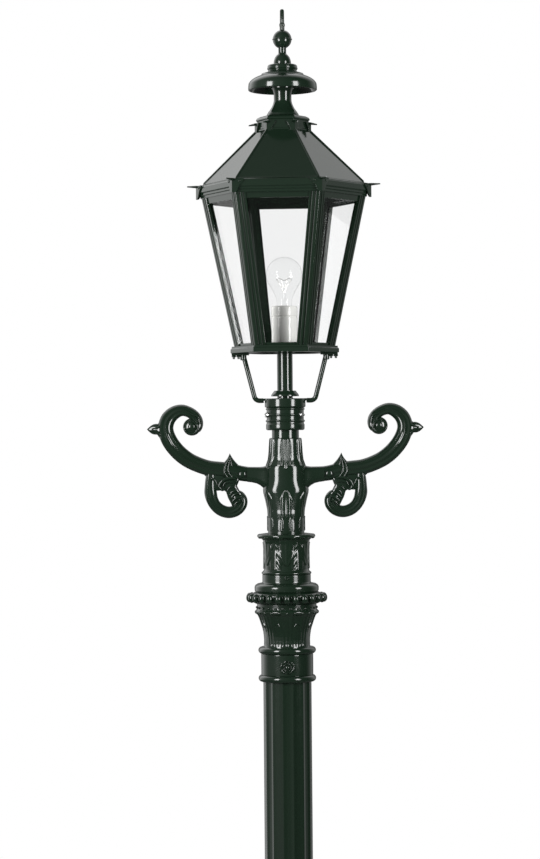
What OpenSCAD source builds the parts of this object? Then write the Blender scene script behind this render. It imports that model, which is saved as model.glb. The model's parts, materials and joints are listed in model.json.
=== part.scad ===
// Street lamp post: a fluted shaft on a cast pedestal, a capital, a hub with two scroll
// ladder arms, and a six-sided glazed lantern with a hinged roof.
// Millimetres, +Z up, origin at the centre of the foot on the ground, door side towards -Y.

/* [Post] */
// Height of the shaft's top above the ground
shaft_top = 1884; // [1500:1:2600]
// Outer radius of the fluted shaft
shaft_r = 40; // [38:0.5:42]
// Number of hollow flutes around the shaft
shaft_flutes = 14; // [8:1:16]
// Depth of each flute
flute_depth = 1.8; // [0.8:0.1:2.2]
// Thickness of the shaft's wall
shaft_wall = 6; // [5:0.5:8]

/* [Foot and pedestal] */
// Radius of the round foot flange
flange_r = 160; // [155:1:190]
// Thickness of the foot flange
flange_t = 16; // [10:1:25]
// Radius of the circle of anchor holes
anchor_circle_r = 135; // [132:1:140]
// Radius of each anchor hole
anchor_hole_r = 7; // [5:0.5:9]
// Distance from the axis to a flat of the eight-sided drum
drum_apothem = 95; // [93:0.5:100]
// Height of the pedestal's top shoulder, which carries the shaft
pedestal_h = 580; // [560:1:700]

/* [Access door] */
// Width of the door opening
door_w = 64; // [56:1:66]
// Height of the door opening
door_h = 230; // [180:1:240]
// Height of the opening's lower edge above the ground
door_z = 110; // [90:1:120]
// Gap all round the door leaf
door_gap = 1; // [0.8:0.1:1.5]

/* [Ladder arms] */
// Distance from the axis to the outer thorn of an arm
arm_reach = 230; // [200:1:240]
// Front to back thickness of an arm
arm_t = 22; // [18:1:24]

/* [Lantern] */
// Turn of the lantern about the post, which its set screws hold
lantern_turn = -5; // [-30:1:30]
// Radius of the glazed body's corners at its foot
body_foot_r = 84.7; // [80:0.1:86]
// Radius of the glazed body's corners under the cornice
body_head_r = 137.1; // [133:0.1:138]
// Width of each face of a corner post
post_wing = 17; // [14:0.5:18]
// Thickness of the glass
glass_t = 3; // [2:0.5:4]

/* [Quality] */
// Segments of a full circle
$fn = 96; // [48:12:120]

/* [Hidden] */

paint = [0.13, 0.17, 0.14];
paint_light = [0.17, 0.22, 0.18];
steel = [0.62, 0.63, 0.62];
brass = [0.78, 0.62, 0.30];
porcelain = [0.93, 0.92, 0.88];
clear_glass = [0.88, 0.92, 0.92, 0.35];
insulator = [0.30, 0.30, 0.32];

slip = 0.05;                    // radial clearance of a turning fit
snug = 0.1;                     // radial clearance of a fixed fit
cut = 1;                        // overrun of a cutting body

// Pedestal
foot_ring_t = 12;
foot_ring_bore = 60;
plinth_r = 120;
plinth_h = 36;
cavity_r = 86;
drum_z = flange_t + plinth_h + 14;
drum_top = door_z + door_h + 40;
drum_corner_r = drum_apothem / cos(22.5);
throat_r = 45;
spigot_len = 80;
shaft_bore = shaft_r - shaft_wall;
spigot_r = shaft_bore - snug;
flange_bolt_circle = 73;
board_y = 21;                   // front of the bracket's upright strip
fuse_top = 245;

// Door hinge and lock
leaf_t = 6;
door_proud = 1;
door_axis_x = -door_w / 2 - 5;
door_axis_y = -drum_apothem - 6;
knuckle_r = 5;
hinge_pin_r = 2.5;
knuckle_h = 12;
hinge_heights = [door_z + 40, door_z + door_h - 40];
lock_x = door_w / 2 - 13;
lock_z = door_z + door_h / 2;
lock_r = 7;
lock_len = 24;

// Heights above the shaft's top
band_h = 57.5;
capital_top = 129.5;
bead_top = 149;
socket_top = 246;
hub_top = 404;
collar_foot = 416.7;
spigot_top = 461;
yoke_z = 469;
yoke_t = 4;
ring_z = 545;
body_z = 556;
cornice_z = 802.6;
roof_z = 825;
crown_z = 914.6;
chimney_z = 938.7;
cap_z = 984;
finial_z = 1024.6;
ball_z = 1052.2;
spike_z = 1087;
tip_z = 1116;

holder_floor = body_z + 12;
holder_seam = 605;
holder_top = 622.6;
globe_z = 674.5;
stem_z = 650;                   // head of the bulb's glass stem
rod_low = crown_z - 16.6;
rod_high = ball_z + 19.8;

core_r = 22.4;
core_bore = 18;
conduit_r = 12.9;
conduit_bore = 10;
cable_r = 4;
rod_r = 3;

// Ladder arms
arm_z = 344;                    // middle of the arm's root
arm_root = 30;
stub_r = 6;
stub_end = 85;
arm_bolt_x = 72;
arm_bolt_r = 3;

// Lamp
holder_r = 21.6;
globe_r = 30;

// Lantern
yoke_rod_r = 4;
yoke_corner = 49.5;
yoke_bend_r = 9;
yoke_lean = 14.7;
foot_tab_t = 3;
foot_screw_x = [77, 85];
base_ring_r = 90.6;
post_t = 6;
cornice_r = 143.6;
cornice_bore = 118;
roof_foot_r = 135;
roof_head_r = 42.8;
roof_wall = 5;
crown_r = 43.2;
crown_h = 16.4;                 // upright part of the crown
roof_axis_y = 131;
roof_axis_z = roof_z + 2;
roof_knuckle_r = 4.5;
roof_pin_r = 2;
hinge_half = 40;

// Points along an arc about (r0, z0)
function arc(r0, z0, rad, from, to, n = 6) =
    [for (i = [0:n]) let (a = from + (to - from) * i / n)
        [r0 + rad * cos(a), z0 + rad * sin(a)]];

// Points along an elliptic arc about (r0, z0)
function oval(r0, z0, rad_r, rad_z, from, to, n = 8) =
    [for (i = [0:n]) let (a = from + (to - from) * i / n)
        [r0 + rad_r * cos(a), z0 + rad_z * sin(a)]];

// Catmull-Rom point between control points k and k + 1 of the list p
function spline_point(p, k, t) =
    let (a = p[max(k - 1, 0)], b = p[k], c = p[k + 1], d = p[min(k + 2, len(p) - 1)])
    0.5 * (2 * b + (c - a) * t + (2 * a - 5 * b + 4 * c - d) * t * t
        + (3 * b - a - 3 * c + d) * t * t * t);

function spline(p, n = 5) =
    concat([for (k = [0:len(p) - 2], i = [0:n - 1]) spline_point(p, k, i / n)],
        [p[len(p) - 1]]);

function unit(v) = v / norm(v);

// Outline of a strand whose middle line and width are the rows [x, z, width]
function strand(rows) =
    let (last = len(rows) - 1)
    let (side = [for (i = [0:last])
        let (v = rows[min(i + 1, last)] - rows[max(i - 1, 0)], u = unit([v[0], v[1]]))
        [-u[1], u[0]] * rows[i][2] / 2])
    concat([for (i = [0:last]) [rows[i][0], rows[i][1]] + side[i]],
        [for (i = [last:-1:0]) [rows[i][0], rows[i][1]] - side[i]]);

// A turned body: outline points [radius, height] from bottom to top, around a bore
module turned(outline, bore = 0) {
    last = outline[len(outline) - 1];
    rotate_extrude()
        polygon(concat([[bore, outline[0][1]]], outline, [[bore, last[1]]]));
}

module pipe(r, bore, z0, z1) {
    difference() {
        translate([0, 0, z0])
            cylinder(r = r, h = z1 - z0);
        translate([0, 0, z0 - cut])
            cylinder(r = bore, h = z1 - z0 + 2 * cut);
    }
}

module around(count, first = 0) {
    for (i = [0:count - 1])
        rotate([0, 0, first + i * 360 / count])
            children();
}

module on_post() {
    translate([0, 0, shaft_top])
        children();
}

module in_lantern() {
    translate([0, 0, shaft_top])
        rotate([0, 0, lantern_turn])
            children();
}

// Six-sided ring with straight walls, corners on the X axis
module hex_ring(r, bore_r, z0, z1) {
    difference() {
        translate([0, 0, z0])
            cylinder(r = r, h = z1 - z0, $fn = 6);
        translate([0, 0, z0 - cut])
            cylinder(r = bore_r, h = z1 - z0 + 2 * cut, $fn = 6);
    }
}

// Screw along +Z: shank, then a head resting at z = 0
module bolt(shank_r, shank_len, head_r, head_h, sides = 6) {
    translate([0, 0, -shank_len])
        cylinder(r = shank_r, h = shank_len);
    cylinder(r = head_r, h = head_h, $fn = sides);
}

/* Foot and pedestal */

module base_flange() {
    color(paint)
        difference() {
            cylinder(r = flange_r, h = flange_t);
            translate([0, 0, -cut])
                cylinder(r = 50, h = flange_t + 2 * cut);
            around(4, 45)
                translate([anchor_circle_r, 0, -cut])
                    cylinder(r = anchor_hole_r, h = flange_t + 2 * cut, $fn = 48);
            around(4, 45)
                translate([flange_bolt_circle, 0, -cut])
                    cylinder(r = 4 + slip, h = flange_t + 2 * cut, $fn = 32);
        }
}

module flange_bolts() {
    color(steel)
        around(4, 45)
            translate([flange_bolt_circle, 0, flange_t + foot_ring_t])
                bolt(4, foot_ring_t + flange_t - 2, 7, 5.3);
}

module pedestal() {
    moulding = drum_top + 12;
    color(paint)
        difference() {
            union() {
                turned(concat(
                    [[plinth_r, flange_t], [plinth_r, flange_t + plinth_h]],
                    arc(plinth_r - 8, flange_t + plinth_h, 8, 0, 90),
                    [[drum_apothem, drum_z], [drum_apothem, drum_top]],
                    arc(drum_apothem + 8, drum_top + 6, 7, -90, 90),
                    [[drum_apothem - 2, moulding + 4]],
                    oval(drum_apothem - 2, pedestal_h - 20, drum_apothem - 54,
                        pedestal_h - moulding - 24, 270, 180, 12),
                    [[55, pedestal_h - 19]],
                    arc(52, pedestal_h - 9.5, 9.5, -80, 80),
                    [[50, pedestal_h], [spigot_r, pedestal_h],
                        [spigot_r, pedestal_h + spigot_len]]));
                translate([0, 0, drum_z])
                    rotate([0, 0, 22.5])
                        cylinder(r = drum_corner_r, h = drum_top - drum_z, $fn = 8);
                fixed_knuckles();
            }
            translate([0, 0, flange_t - cut])
                cylinder(r = foot_ring_bore, h = foot_ring_t + 2 * cut);
            translate([0, 0, flange_t + foot_ring_t])
                cylinder(r = cavity_r, h = drum_top - flange_t - foot_ring_t);
            translate([0, 0, drum_top - cut])
                cylinder(r = throat_r, h = pedestal_h - 30 - drum_top + cut);
            translate([0, 0, pedestal_h - 30 - cut])
                cylinder(r = 26, h = spigot_len + 32 + cut);
            translate([-door_w / 2, -drum_apothem - 2, door_z])
                cube([door_w, drum_apothem - 50, door_h]);
            around(4, 45)
                translate([flange_bolt_circle, 0, flange_t - cut])
                    cylinder(r = 4.5, h = foot_ring_t + 2 * cut, $fn = 32);
            foot_screw_seats()
                cylinder(r = 2.2, h = 22, center = true, $fn = 32);
            hinge_bores(hinge_pin_r + slip);
        }
}

// Two knuckles of each door hinge that stand on the drum
module fixed_knuckles() {
    for (z = hinge_heights, side = [-1, 1])
        translate([door_axis_x, door_axis_y, z + side * (knuckle_h + 0.5) - knuckle_h / 2]) {
            cylinder(r = knuckle_r, h = knuckle_h, $fn = 48);
            translate([-knuckle_r, 0, 0])
                cube([knuckle_r + 3, 8, knuckle_h]);
        }
}

module hinge_bores(r) {
    for (z = hinge_heights)
        translate([door_axis_x, door_axis_y, z - 2 * knuckle_h])
            cylinder(r = r, h = 4 * knuckle_h, $fn = 48);
}

module access_door() {
    leaf_x = -door_w / 2 + door_gap;
    face_y = -drum_apothem - door_proud;
    color(paint_light)
        difference() {
            union() {
                translate([leaf_x, face_y, door_z + door_gap])
                    cube([door_w - 2 * door_gap, leaf_t, door_h - 2 * door_gap]);
                translate([leaf_x + 9, face_y - 1.5, door_z + 12])
                    cube([door_w - 2 * door_gap - 18, 2, door_h - 24]);
                for (z = hinge_heights) {
                    translate([door_axis_x, door_axis_y, z - knuckle_h / 2])
                        cylinder(r = knuckle_r, h = knuckle_h, $fn = 48);
                    translate([door_axis_x, face_y - 3, z - knuckle_h / 2])
                        cube([26, 3.2, knuckle_h]);
                }
            }
            hinge_bores(hinge_pin_r + slip);
            translate([lock_x, -drum_apothem + 20, lock_z])
                rotate([90, 0, 0])
                    cylinder(r = lock_r + slip, h = 60, $fn = 64);
        }
}

module door_hinge_pins() {
    color(steel)
        for (z = hinge_heights)
            translate([door_axis_x, door_axis_y, z]) {
                translate([0, 0, -1.5 * knuckle_h - 1])
                    cylinder(r = hinge_pin_r, h = 3 * knuckle_h + 2, $fn = 48);
                translate([0, 0, 1.5 * knuckle_h + 0.5])
                    cylinder(r = 4, h = 2, $fn = 48);
            }
}

// Barrel of the door lock with a three-sided key recess
module door_lock() {
    front = -drum_apothem - door_proud - 3;
    color(steel)
        translate([lock_x, front, lock_z])
            rotate([-90, 0, 0])
                difference() {
                    union() {
                        cylinder(r = lock_r, h = lock_len, $fn = 64);
                        cylinder(r = lock_r + 2.5, h = 1.4, $fn = 64);
                    }
                    translate([0, 0, -cut])
                        cylinder(r = 4.5, h = 6, $fn = 3);
                }
}

// Cam behind the leaf, hanging down while the lock is open
module lock_cam() {
    back = -drum_apothem - door_proud - 3 + lock_len;
    color(steel)
        translate([lock_x, back, lock_z])
            rotate([-90, 0, 0])
                union() {
                    cylinder(r = 6, h = 3, $fn = 48);
                    translate([-5, 0, 0])
                        cube([10, 20, 3]);
                }
}

// Upright strip on a long foot that stands on the pedestal's inner ring
module board_bracket() {
    color(steel)
        difference() {
            union() {
                translate([-20, board_y, flange_t + foot_ring_t])
                    cube([40, 4, 250]);
                translate([-20, board_y, flange_t + foot_ring_t])
                    cube([40, 60, 4]);
            }
            foot_screw_seats()
                cylinder(r = 2.2, h = 40, center = true, $fn = 32);
            board_screw_places()
                cylinder(r = 2.2, h = 40, center = true, $fn = 32);
        }
}

module terminal_board() {
    color(insulator)
        difference() {
            translate([-28, board_y - 6, 110])
                cube([56, 6, 160]);
            board_screw_places()
                cylinder(r = 2.2, h = 40, center = true, $fn = 32);
        }
}

module board_screw_places() {
    for (x = [-14, 14], z = [125, 262])
        translate([x, board_y - 6, z])
            rotate([90, 0, 0])
                children();
}

module foot_screw_seats() {
    for (x = [-14, 14])
        translate([x, 73, flange_t + foot_ring_t + 4])
            children();
}

module board_screws() {
    color(steel) {
        board_screw_places()
            bolt(2.1, 9.5, 4, 2.5, 32);
        foot_screw_seats()
            bolt(2.1, 10, 4, 2.5, 32);
    }
}

// Fuse carrier and terminals in one moulded block
module fuse_block() {
    front = board_y - 36;
    color("white")
        difference() {
            union() {
                translate([-22, front, fuse_top - 90])
                    cube([44, 30, 90]);
                translate([-15, front - 6, fuse_top - 75])
                    cube([14, 8, 60]);
            }
            for (i = [0:3])
                translate([11, front - cut, fuse_top - 80 + i * 22])
                    rotate([-90, 0, 0])
                        cylinder(r = 4, h = 20, $fn = 32);
        }
}

// Lamp cable, from the fuse block straight up the axis to the lamp holder
module lamp_cable() {
    color(insulator)
        translate([0, 0, fuse_top])
            cylinder(r = cable_r, h = shaft_top + body_z - fuse_top, $fn = 32);
}

/* Shaft and capital */

module shaft() {
    half = shaft_r * sin(180 / shaft_flutes) - 1;
    hollow_r = (half * half + flute_depth * flute_depth) / (2 * flute_depth);
    color(paint)
        translate([0, 0, pedestal_h])
            linear_extrude(shaft_top - pedestal_h)
                difference() {
                    circle(r = shaft_r);
                    circle(r = shaft_bore);
                    around(shaft_flutes, 270 - 11 + 180 / shaft_flutes)
                        translate([shaft_r - flute_depth + hollow_r - 0.4, 0])
                            circle(r = hollow_r);
                }
}

module shaft_foot_ring() {
    color(paint)
        translate([0, 0, pedestal_h])
            turned(concat(
                arc(48, 9, 9, -90, 90),
                arc(50, 25, 7, 270, 180),
                arc(43, 37, 5, -90, 90),
                [[43, 50]]), shaft_r + slip);
}

module neck_band() {
    color(paint)
        on_post()
            difference() {
                turned(concat(
                    [[spigot_r, -spigot_len], [spigot_r, 0], [42, 0]],
                    arc(42.3, 5.5, 5.5, -90, 90),
                    [[43.2, 11], [43.2, 46]],
                    arc(42.3, 52, 5.5, -90, 90)), core_r + snug);
                band_rosette_seats(0.05);
            }
}

// Flat seats for the two rosettes, front and back
module band_rosette_seats(gap) {
    around(2, 270)
        translate([40.5, 0, 26])
            rotate([0, 90, 0])
                cylinder(r = 12.5 + gap, h = 20, $fn = 64);
}

module band_rosettes() {
    color(paint)
        on_post()
            around(2, 270)
                translate([40.5, 0, 26])
                    rotate([0, 90, 0])
                        union() {
                            cylinder(r = 12.5, h = 3.5, $fn = 64);
                            cylinder(r = 5, h = 6, $fn = 48);
                            around(8)
                                translate([8, 0, 0])
                                    cylinder(r = 2.6, h = 5, $fn = 32);
                        }
}

module capital() {
    color(paint)
        on_post()
            turned([
                [38.5, band_h], [36.8, 62], [36.8, 70], [37.3, 76], [38.3, 83], [39.8, 89.6],
                [42.1, 96], [44.4, 103], [47, 109.6], [50.5, 113], [52.8, 116], [52, 119],
                [50, 122], [50, capital_top]], core_r + snug);
}

module bead_ring() {
    beads = 26;
    mid = (capital_top + bead_top) / 2;
    color(paint)
        on_post()
            union() {
                turned([[52, capital_top], [60, capital_top + 5], [60, bead_top - 5],
                    [52, bead_top]], core_r + snug);
                around(beads, 270)
                    translate([62, 0, mid])
                        rotate_extrude($fn = 24)
                            polygon(oval(0, 0, 5, 7, -90, 90, 6));
            }
}

module leaf_socket() {
    color(paint)
        on_post()
            difference() {
                turned(concat(
                    [[50, bead_top], [51.6, bead_top + 1.5], [51.6, 157], [47.3, 163.5],
                        [40.2, 164], [40.2, 177.6]],
                    arc(39, 180, 2.4, -90, 90),
                    [[37.5, 186], [37.3, 202], [37.3, 219], [38, 229], [39.5, 235],
                        [44, 238.5]],
                    arc(45.2, 241.5, 3, -90, 90),
                    [[34, socket_top]]), core_r + snug);
                socket_screw_places()
                    cylinder(r = rod_r + slip, h = 30, $fn = 32);
            }
}

module socket_screw_places() {
    around(3, 270)
        translate([core_r + snug - 0.05, 0, 173])
            rotate([0, 90, 0])
                children();
}

module socket_screws() {
    color(steel)
        on_post()
            socket_screw_places()
                translate([0, 0, 0.1])
                    cylinder(r = rod_r, h = 18.8, $fn = 32);
}

module post_hub() {
    color(paint)
        on_post()
            difference() {
                union() {
                    turned([
                        [30.8, socket_top], [30.8, 269], [31.9, 285], [35.7, 302], [39, 317],
                        [38.4, 322], [35, 328], [34.2, 335], [34.2, 356], [33, 359],
                        [29.9, 368], [28.2, 382], [27.4, hub_top]], core_r + snug);
                    for (side = [0, 180])
                        rotate([0, 0, side])
                            translate([28, 0, arm_z])
                                rotate([0, 90, 0])
                                    cylinder(r = stub_r, h = stub_end - 28, $fn = 48);
                }
                for (side = [0, 180])
                    rotate([0, 0, side])
                        difference() {
                            translate([arm_root - 0.2, -arm_t / 2 - snug, arm_z - 14])
                                cube([20, arm_t + 2 * snug, 28]);
                            translate([0, 0, arm_z])
                                rotate([0, 90, 0])
                                    cylinder(r = stub_r, h = 90, $fn = 48);
                        }
                arm_bolt_places()
                    cylinder(r = arm_bolt_r + snug, h = 60, center = true, $fn = 32);
            }
}

module arm_bolt_places() {
    for (side = [-1, 1])
        translate([side * arm_bolt_x, 0, arm_z])
            rotate([90, 0, 0])
                children();
}

// A slab of the right-hand arm: an outline with x from the arm's root and y from its middle
module arm_slab() {
    stretch = (arm_reach - arm_root) / 196;
    translate([arm_root, arm_t / 2, arm_z])
        rotate([90, 0, 0])
            linear_extrude(arm_t)
                scale([stretch, 1])
                    children();
}

module arm_body() {
    stem = [
        [0, -0.5, 25.5], [8, -0.5, 25], [18, -1, 24.5], [40, 1, 25], [68, 7, 26],
        [97, 11, 25.5], [122, 20.5, 25.5], [138, 31, 26], [150, 43, 26], [159, 56, 26],
        [164.5, 70, 25.5], [165, 82, 25], [160.5, 94, 24.5], [151, 103, 22.5],
        [139.5, 107, 19.5], [128.5, 104.5, 18], [119.5, 98.5, 18], [114.2, 90, 18.5],
        [114, 80.5, 18], [119, 73, 16]];
    scroll = [
        [92, 4, 14], [93, -8, 17], [93.5, -20, 18.5], [93, -31, 20.5], [90.5, -42, 19.5],
        [84.5, -52.5, 19], [75, -60, 19.5], [63, -63, 19.5], [51.5, -59.5, 19.5],
        [44, -51, 19.5], [42.5, -42, 18], [46.5, -34.5, 15], [53, -33, 12]];
    leaf_web = [
        [44, 0], [47, -12], [50, -19], [46, -27], [40, -34], [44, -52], [58, -53],
        [65, -39], [68, -29], [75, -24], [83, -27], [92, -20], [96, 2]];
    union() {
        arm_slab()
            polygon(strand(spline(stem)));
        arm_slab()
            polygon(strand(spline(scroll)));
        arm_slab()
            translate([122.8, 79.3])
                circle(r = 14.5, $fn = 64);
        arm_slab()
            polygon(leaf_web);
        arm_slab()
            polygon([[40, 10], [46, 20.5], [54, 25.5], [61.5, 35], [67, 28], [75, 18]]);
        arm_slab()
            polygon([[175, 60], [187, 70], [196, 75.9], [185, 81.5], [173, 90]]);
        arm_slab()
            polygon([[90, 6], [106, 2], [100.5, -11], [92, -12]]);
    }
}

module ladder_arm() {
    difference() {
        arm_body();
        translate([arm_root - cut, 0, arm_z])
            rotate([0, 90, 0])
                cylinder(r = stub_r + snug, h = stub_end - arm_root + 2 * cut, $fn = 48);
        arm_bolt_places()
            cylinder(r = arm_bolt_r + snug, h = 60, center = true, $fn = 32);
    }
}

module ladder_arm_left() {
    color(paint)
        on_post()
            mirror([1, 0, 0])
                ladder_arm();
}

module ladder_arm_right() {
    color(paint)
        on_post()
            ladder_arm();
}

// Cross bolts with a hexagon head in front and a nut behind
module arm_bolts() {
    color(steel)
        on_post()
            arm_bolt_places()
                union() {
                    translate([0, 0, -arm_t / 2 - 3])
                        cylinder(r = arm_bolt_r, h = arm_t + 4, $fn = 32);
                    translate([0, 0, arm_t / 2])
                        cylinder(r = 5.5, h = 3.5, $fn = 6);
                    translate([0, 0, -arm_t / 2 - 4])
                        cylinder(r = 5.5, h = 4, $fn = 6);
                }
}

module core_tube() {
    color(steel)
        on_post()
            pipe(core_r, core_bore, -120, spigot_top);
}

/* Lantern mounting */

module lantern_collar() {
    color(paint)
        in_lantern()
            difference() {
                turned(concat(
                    [[29.5, collar_foot], [32, 419], [32, 427], [31, 428]],
                    arc(31, 432, 1.8, -90, 90, 4),
                    arc(31, 442, 1.8, -90, 90, 4),
                    arc(31, 451, 1.8, -90, 90, 4),
                    [[31, 457], [33.2, 461], [34.9, 465], [34.9, yoke_z]]),
                    conduit_r + slip);
                translate([0, 0, collar_foot - cut])
                    cylinder(r = core_r + slip, h = spigot_top - collar_foot + cut);
                collar_screw_places()
                    cylinder(r = 4 + slip, h = 20, $fn = 32);
            }
}

module collar_screw_places() {
    around(3, 270 + 59)
        translate([core_r, 0, 442])
            rotate([0, 90, 0])
                children();
}

module collar_screws() {
    color(steel)
        in_lantern()
            collar_screw_places()
                difference() {
                    translate([0, 0, 0.2])
                        cylinder(r = 4, h = 13.8, $fn = 32);
                    translate([0, 0, 10])
                        cylinder(r = 2.2, h = 8, $fn = 6);
                }
}

// Fork of two legs that carries the lantern's base ring by its left and right corners
module lantern_yoke() {
    tab_z = ring_z - foot_tab_t;
    color(paint)
        in_lantern()
            difference() {
                union() {
                    translate([0, 0, yoke_z])
                        cylinder(r = 23, h = yoke_t);
                    for (side = [0, 180])
                        rotate([0, 0, side]) {
                            translate([10, -7, yoke_z])
                                cube([29, 14, yoke_t]);
                            yoke_leg(tab_z);
                            translate([60, -8, tab_z])
                                cube([27, 16, foot_tab_t]);
                        }
                }
                translate([0, 0, yoke_z - cut])
                    cylinder(r = conduit_r + snug, h = yoke_t + 2 * cut);
                foot_screw_places()
                    cylinder(r = 2 + snug, h = 60, center = true, $fn = 32);
            }
}

// Leg bent up from the flat bar, with a boss under the foot tab at tab_z
module yoke_leg(tab_z) {
    bend_z = yoke_z + 0.5;
    reach = yoke_bend_r * tan((90 - yoke_lean) / 2);
    centre_x = yoke_corner - reach;
    centre_z = bend_z + yoke_bend_r;
    top_x = yoke_corner + (tab_z - bend_z) * tan(yoke_lean);
    bend = arc(centre_x, centre_z, yoke_bend_r, -90, -yoke_lean);
    rows = concat([[37, bend_z, 2 * yoke_rod_r]],
        [for (p = bend) [p[0], p[1], 2 * yoke_rod_r]],
        [[top_x, tab_z, 2 * yoke_rod_r]]);
    intersection() {
        translate([0, yoke_rod_r, 0])
            rotate([90, 0, 0])
                linear_extrude(2 * yoke_rod_r)
                    polygon(strand(rows));
        translate([0, -20, yoke_z - 10])
            cube([100, 40, tab_z - yoke_z + 10]);
    }
    translate([top_x - 1, 0, tab_z - 8])
        cylinder(r = 5, h = 8, $fn = 48);
}

module foot_screw_places() {
    for (side = [-1, 1], x = foot_screw_x)
        translate([side * x, 0, ring_z - foot_tab_t])
            children();
}

module yoke_foot_screws() {
    color(paint)
        in_lantern()
            foot_screw_places()
                union() {
                    translate([0, 0, -6.5])
                        cylinder(r = 2, h = 16, $fn = 32);
                    translate([0, 0, -3])
                        cylinder(r = 3.6, h = 3, $fn = 6);
                }
}

module yoke_nut() {
    color(paint)
        in_lantern()
            turned([[23.2, yoke_z + yoke_t], [22.6, 476], [20, 479], [18.3, 482]],
                conduit_r + snug);
}

module conduit_tube() {
    color(paint)
        in_lantern()
            pipe(conduit_r, conduit_bore, spigot_top, body_z);
}

module conduit_nuts() {
    color(paint)
        in_lantern() {
            difference() {
                translate([0, 0, ring_z])
                    cylinder(r = 19, h = 5, $fn = 6);
                translate([0, 0, ring_z - cut])
                    cylinder(r = conduit_r + slip, h = 7);
            }
            pipe(18, conduit_r + slip, ring_z + 8, body_z);
        }
}

/* Lantern body */

module lantern_floor() {
    color(paint)
        in_lantern()
            difference() {
                translate([0, 0, ring_z + 5])
                    cylinder(r = 71.8, h = 3, $fn = 6);
                translate([0, 0, ring_z])
                    cylinder(r = conduit_r + snug, h = 20);
                around(6, 30)
                    translate([42, 0, ring_z])
                        cylinder(r = 5, h = 20, $fn = 32);
            }
}

module lantern_base_ring() {
    color(paint)
        in_lantern()
            difference() {
                union() {
                    hex_ring(base_ring_r, 66, ring_z, ring_z + 5);
                    hex_ring(base_ring_r, 72, ring_z + 5, body_z);
                }
                foot_screw_places()
                    cylinder(r = 2 + slip, h = 11, $fn = 32);
            }
}

// Six-sided sloping wall of the glazed body, between two depths behind its outer face
module body_wall(depth0, depth1) {
    difference() {
        translate([0, 0, body_z])
            cylinder(r1 = body_foot_r - depth0 / cos(30), r2 = body_head_r - depth0 / cos(30),
                h = cornice_z - body_z, $fn = 6);
        body_core(depth1);
    }
}

module body_core(depth) {
    over = 5;
    slope = (body_head_r - body_foot_r) / (cornice_z - body_z);
    translate([0, 0, body_z - over])
        cylinder(r1 = body_foot_r - depth / cos(30) - over * slope,
            r2 = body_head_r - depth / cos(30) + over * slope,
            h = cornice_z - body_z + 2 * over, $fn = 6);
}

// Six upright trapezoid prisms, each covering a face but for a margin at its corners
module face_fields(margin) {
    over = 5;
    slope = (body_head_r - body_foot_r) / (cornice_z - body_z);
    low = (body_foot_r - over * slope) / 2 - margin;
    high = (body_head_r + over * slope) / 2 - margin;
    around(6, 30)
        rotate([90, 0, 90])
            translate([0, 0, 40])
                linear_extrude(120)
                    polygon([[-low, body_z - over], [low, body_z - over],
                        [high, cornice_z + over], [-high, cornice_z + over]]);
}

module corner_posts() {
    color(paint)
        in_lantern()
            difference() {
                body_wall(0, post_t);
                face_fields(post_wing);
            }
}

module glass_panes() {
    color(clear_glass)
        in_lantern()
            intersection() {
                body_wall(post_t + slip, post_t + glass_t - slip);
                face_fields(post_wing - 10);
            }
}

module glazing_strips() {
    color(paint)
        in_lantern()
            difference() {
                body_wall(post_t + glass_t, post_t + glass_t + 2);
                face_fields(post_wing - 3);
            }
}

// Stepped six-sided outside of the cornice
module cornice_steps() {
    translate([0, 0, cornice_z])
        cylinder(r = 139, h = 6, $fn = 6);
    translate([0, 0, cornice_z + 6])
        cylinder(r = 142, h = 5.4, $fn = 6);
    translate([0, 0, cornice_z + 11.4])
        cylinder(r = cornice_r, h = 9, $fn = 6);
    translate([0, 0, cornice_z + 20.4])
        cylinder(r1 = cornice_r, r2 = 140, h = roof_z - cornice_z - 20.4, $fn = 6);
}

module lantern_cornice() {
    color(paint)
        in_lantern()
            difference() {
                cornice_steps();
                translate([0, 0, cornice_z - cut])
                    cylinder(r = cornice_bore, h = 40, $fn = 6);
                ear_screw_places()
                    cylinder(r = 1.5 + slip, h = 12, center = true, $fn = 24);
            }
}

// A cast ear that wraps one corner of a six-sided ring and ends in a thin tip
module ear(r, tip_r, z_low, z_high, wing, steps = 3) {
    thick = 2.2;
    rise = (z_high - z_low) / steps;
    for (i = [0:steps - 1]) {
        reach = wing * (i + 1) / steps;
        translate([0, 0, z_low + i * rise])
            linear_extrude(rise)
                polygon([
                    [r - 7, 0], [r - 7 - reach * cos(60), reach * sin(60)],
                    [r - reach * cos(60) + thick / cos(30), reach * sin(60)],
                    [r + thick / cos(30), 0],
                    [r - reach * cos(60) + thick / cos(30), -reach * sin(60)],
                    [r - 7 - reach * cos(60), -reach * sin(60)]]);
    }
    translate([0, 0, z_high - 2.5])
        linear_extrude(2.5)
            polygon([[r, 0], [r - 2, 3.4], [r + thick, 6.5], [tip_r, 0], [r + thick, -6.5],
                [r - 2, -3.4]]);
}

module cornice_ears() {
    color(paint)
        in_lantern()
            difference() {
                around(6)
                    ear(cornice_r, 161, cornice_z, cornice_z + 20.4, 18, 4);
                cornice_steps();
                ear_screw_places()
                    cylinder(r = 1.5 + slip, h = 12, center = true, $fn = 24);
            }
}

// One screw in each wing of each ear, square to the cornice's face
module ear_screw_places() {
    around(6)
        for (side = [-1, 1])
            translate([cornice_r - 11 * cos(60), side * 11 * sin(60), cornice_z + 17.4])
                rotate([0, 0, side * 30])
                    rotate([0, 90, 0])
                        children();
}

module ear_screws() {
    color(steel)
        in_lantern()
            ear_screw_places()
                translate([0, 0, 2.3])
                    bolt(1.5, 7, 2.4, 1.4, 32);
}

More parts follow.
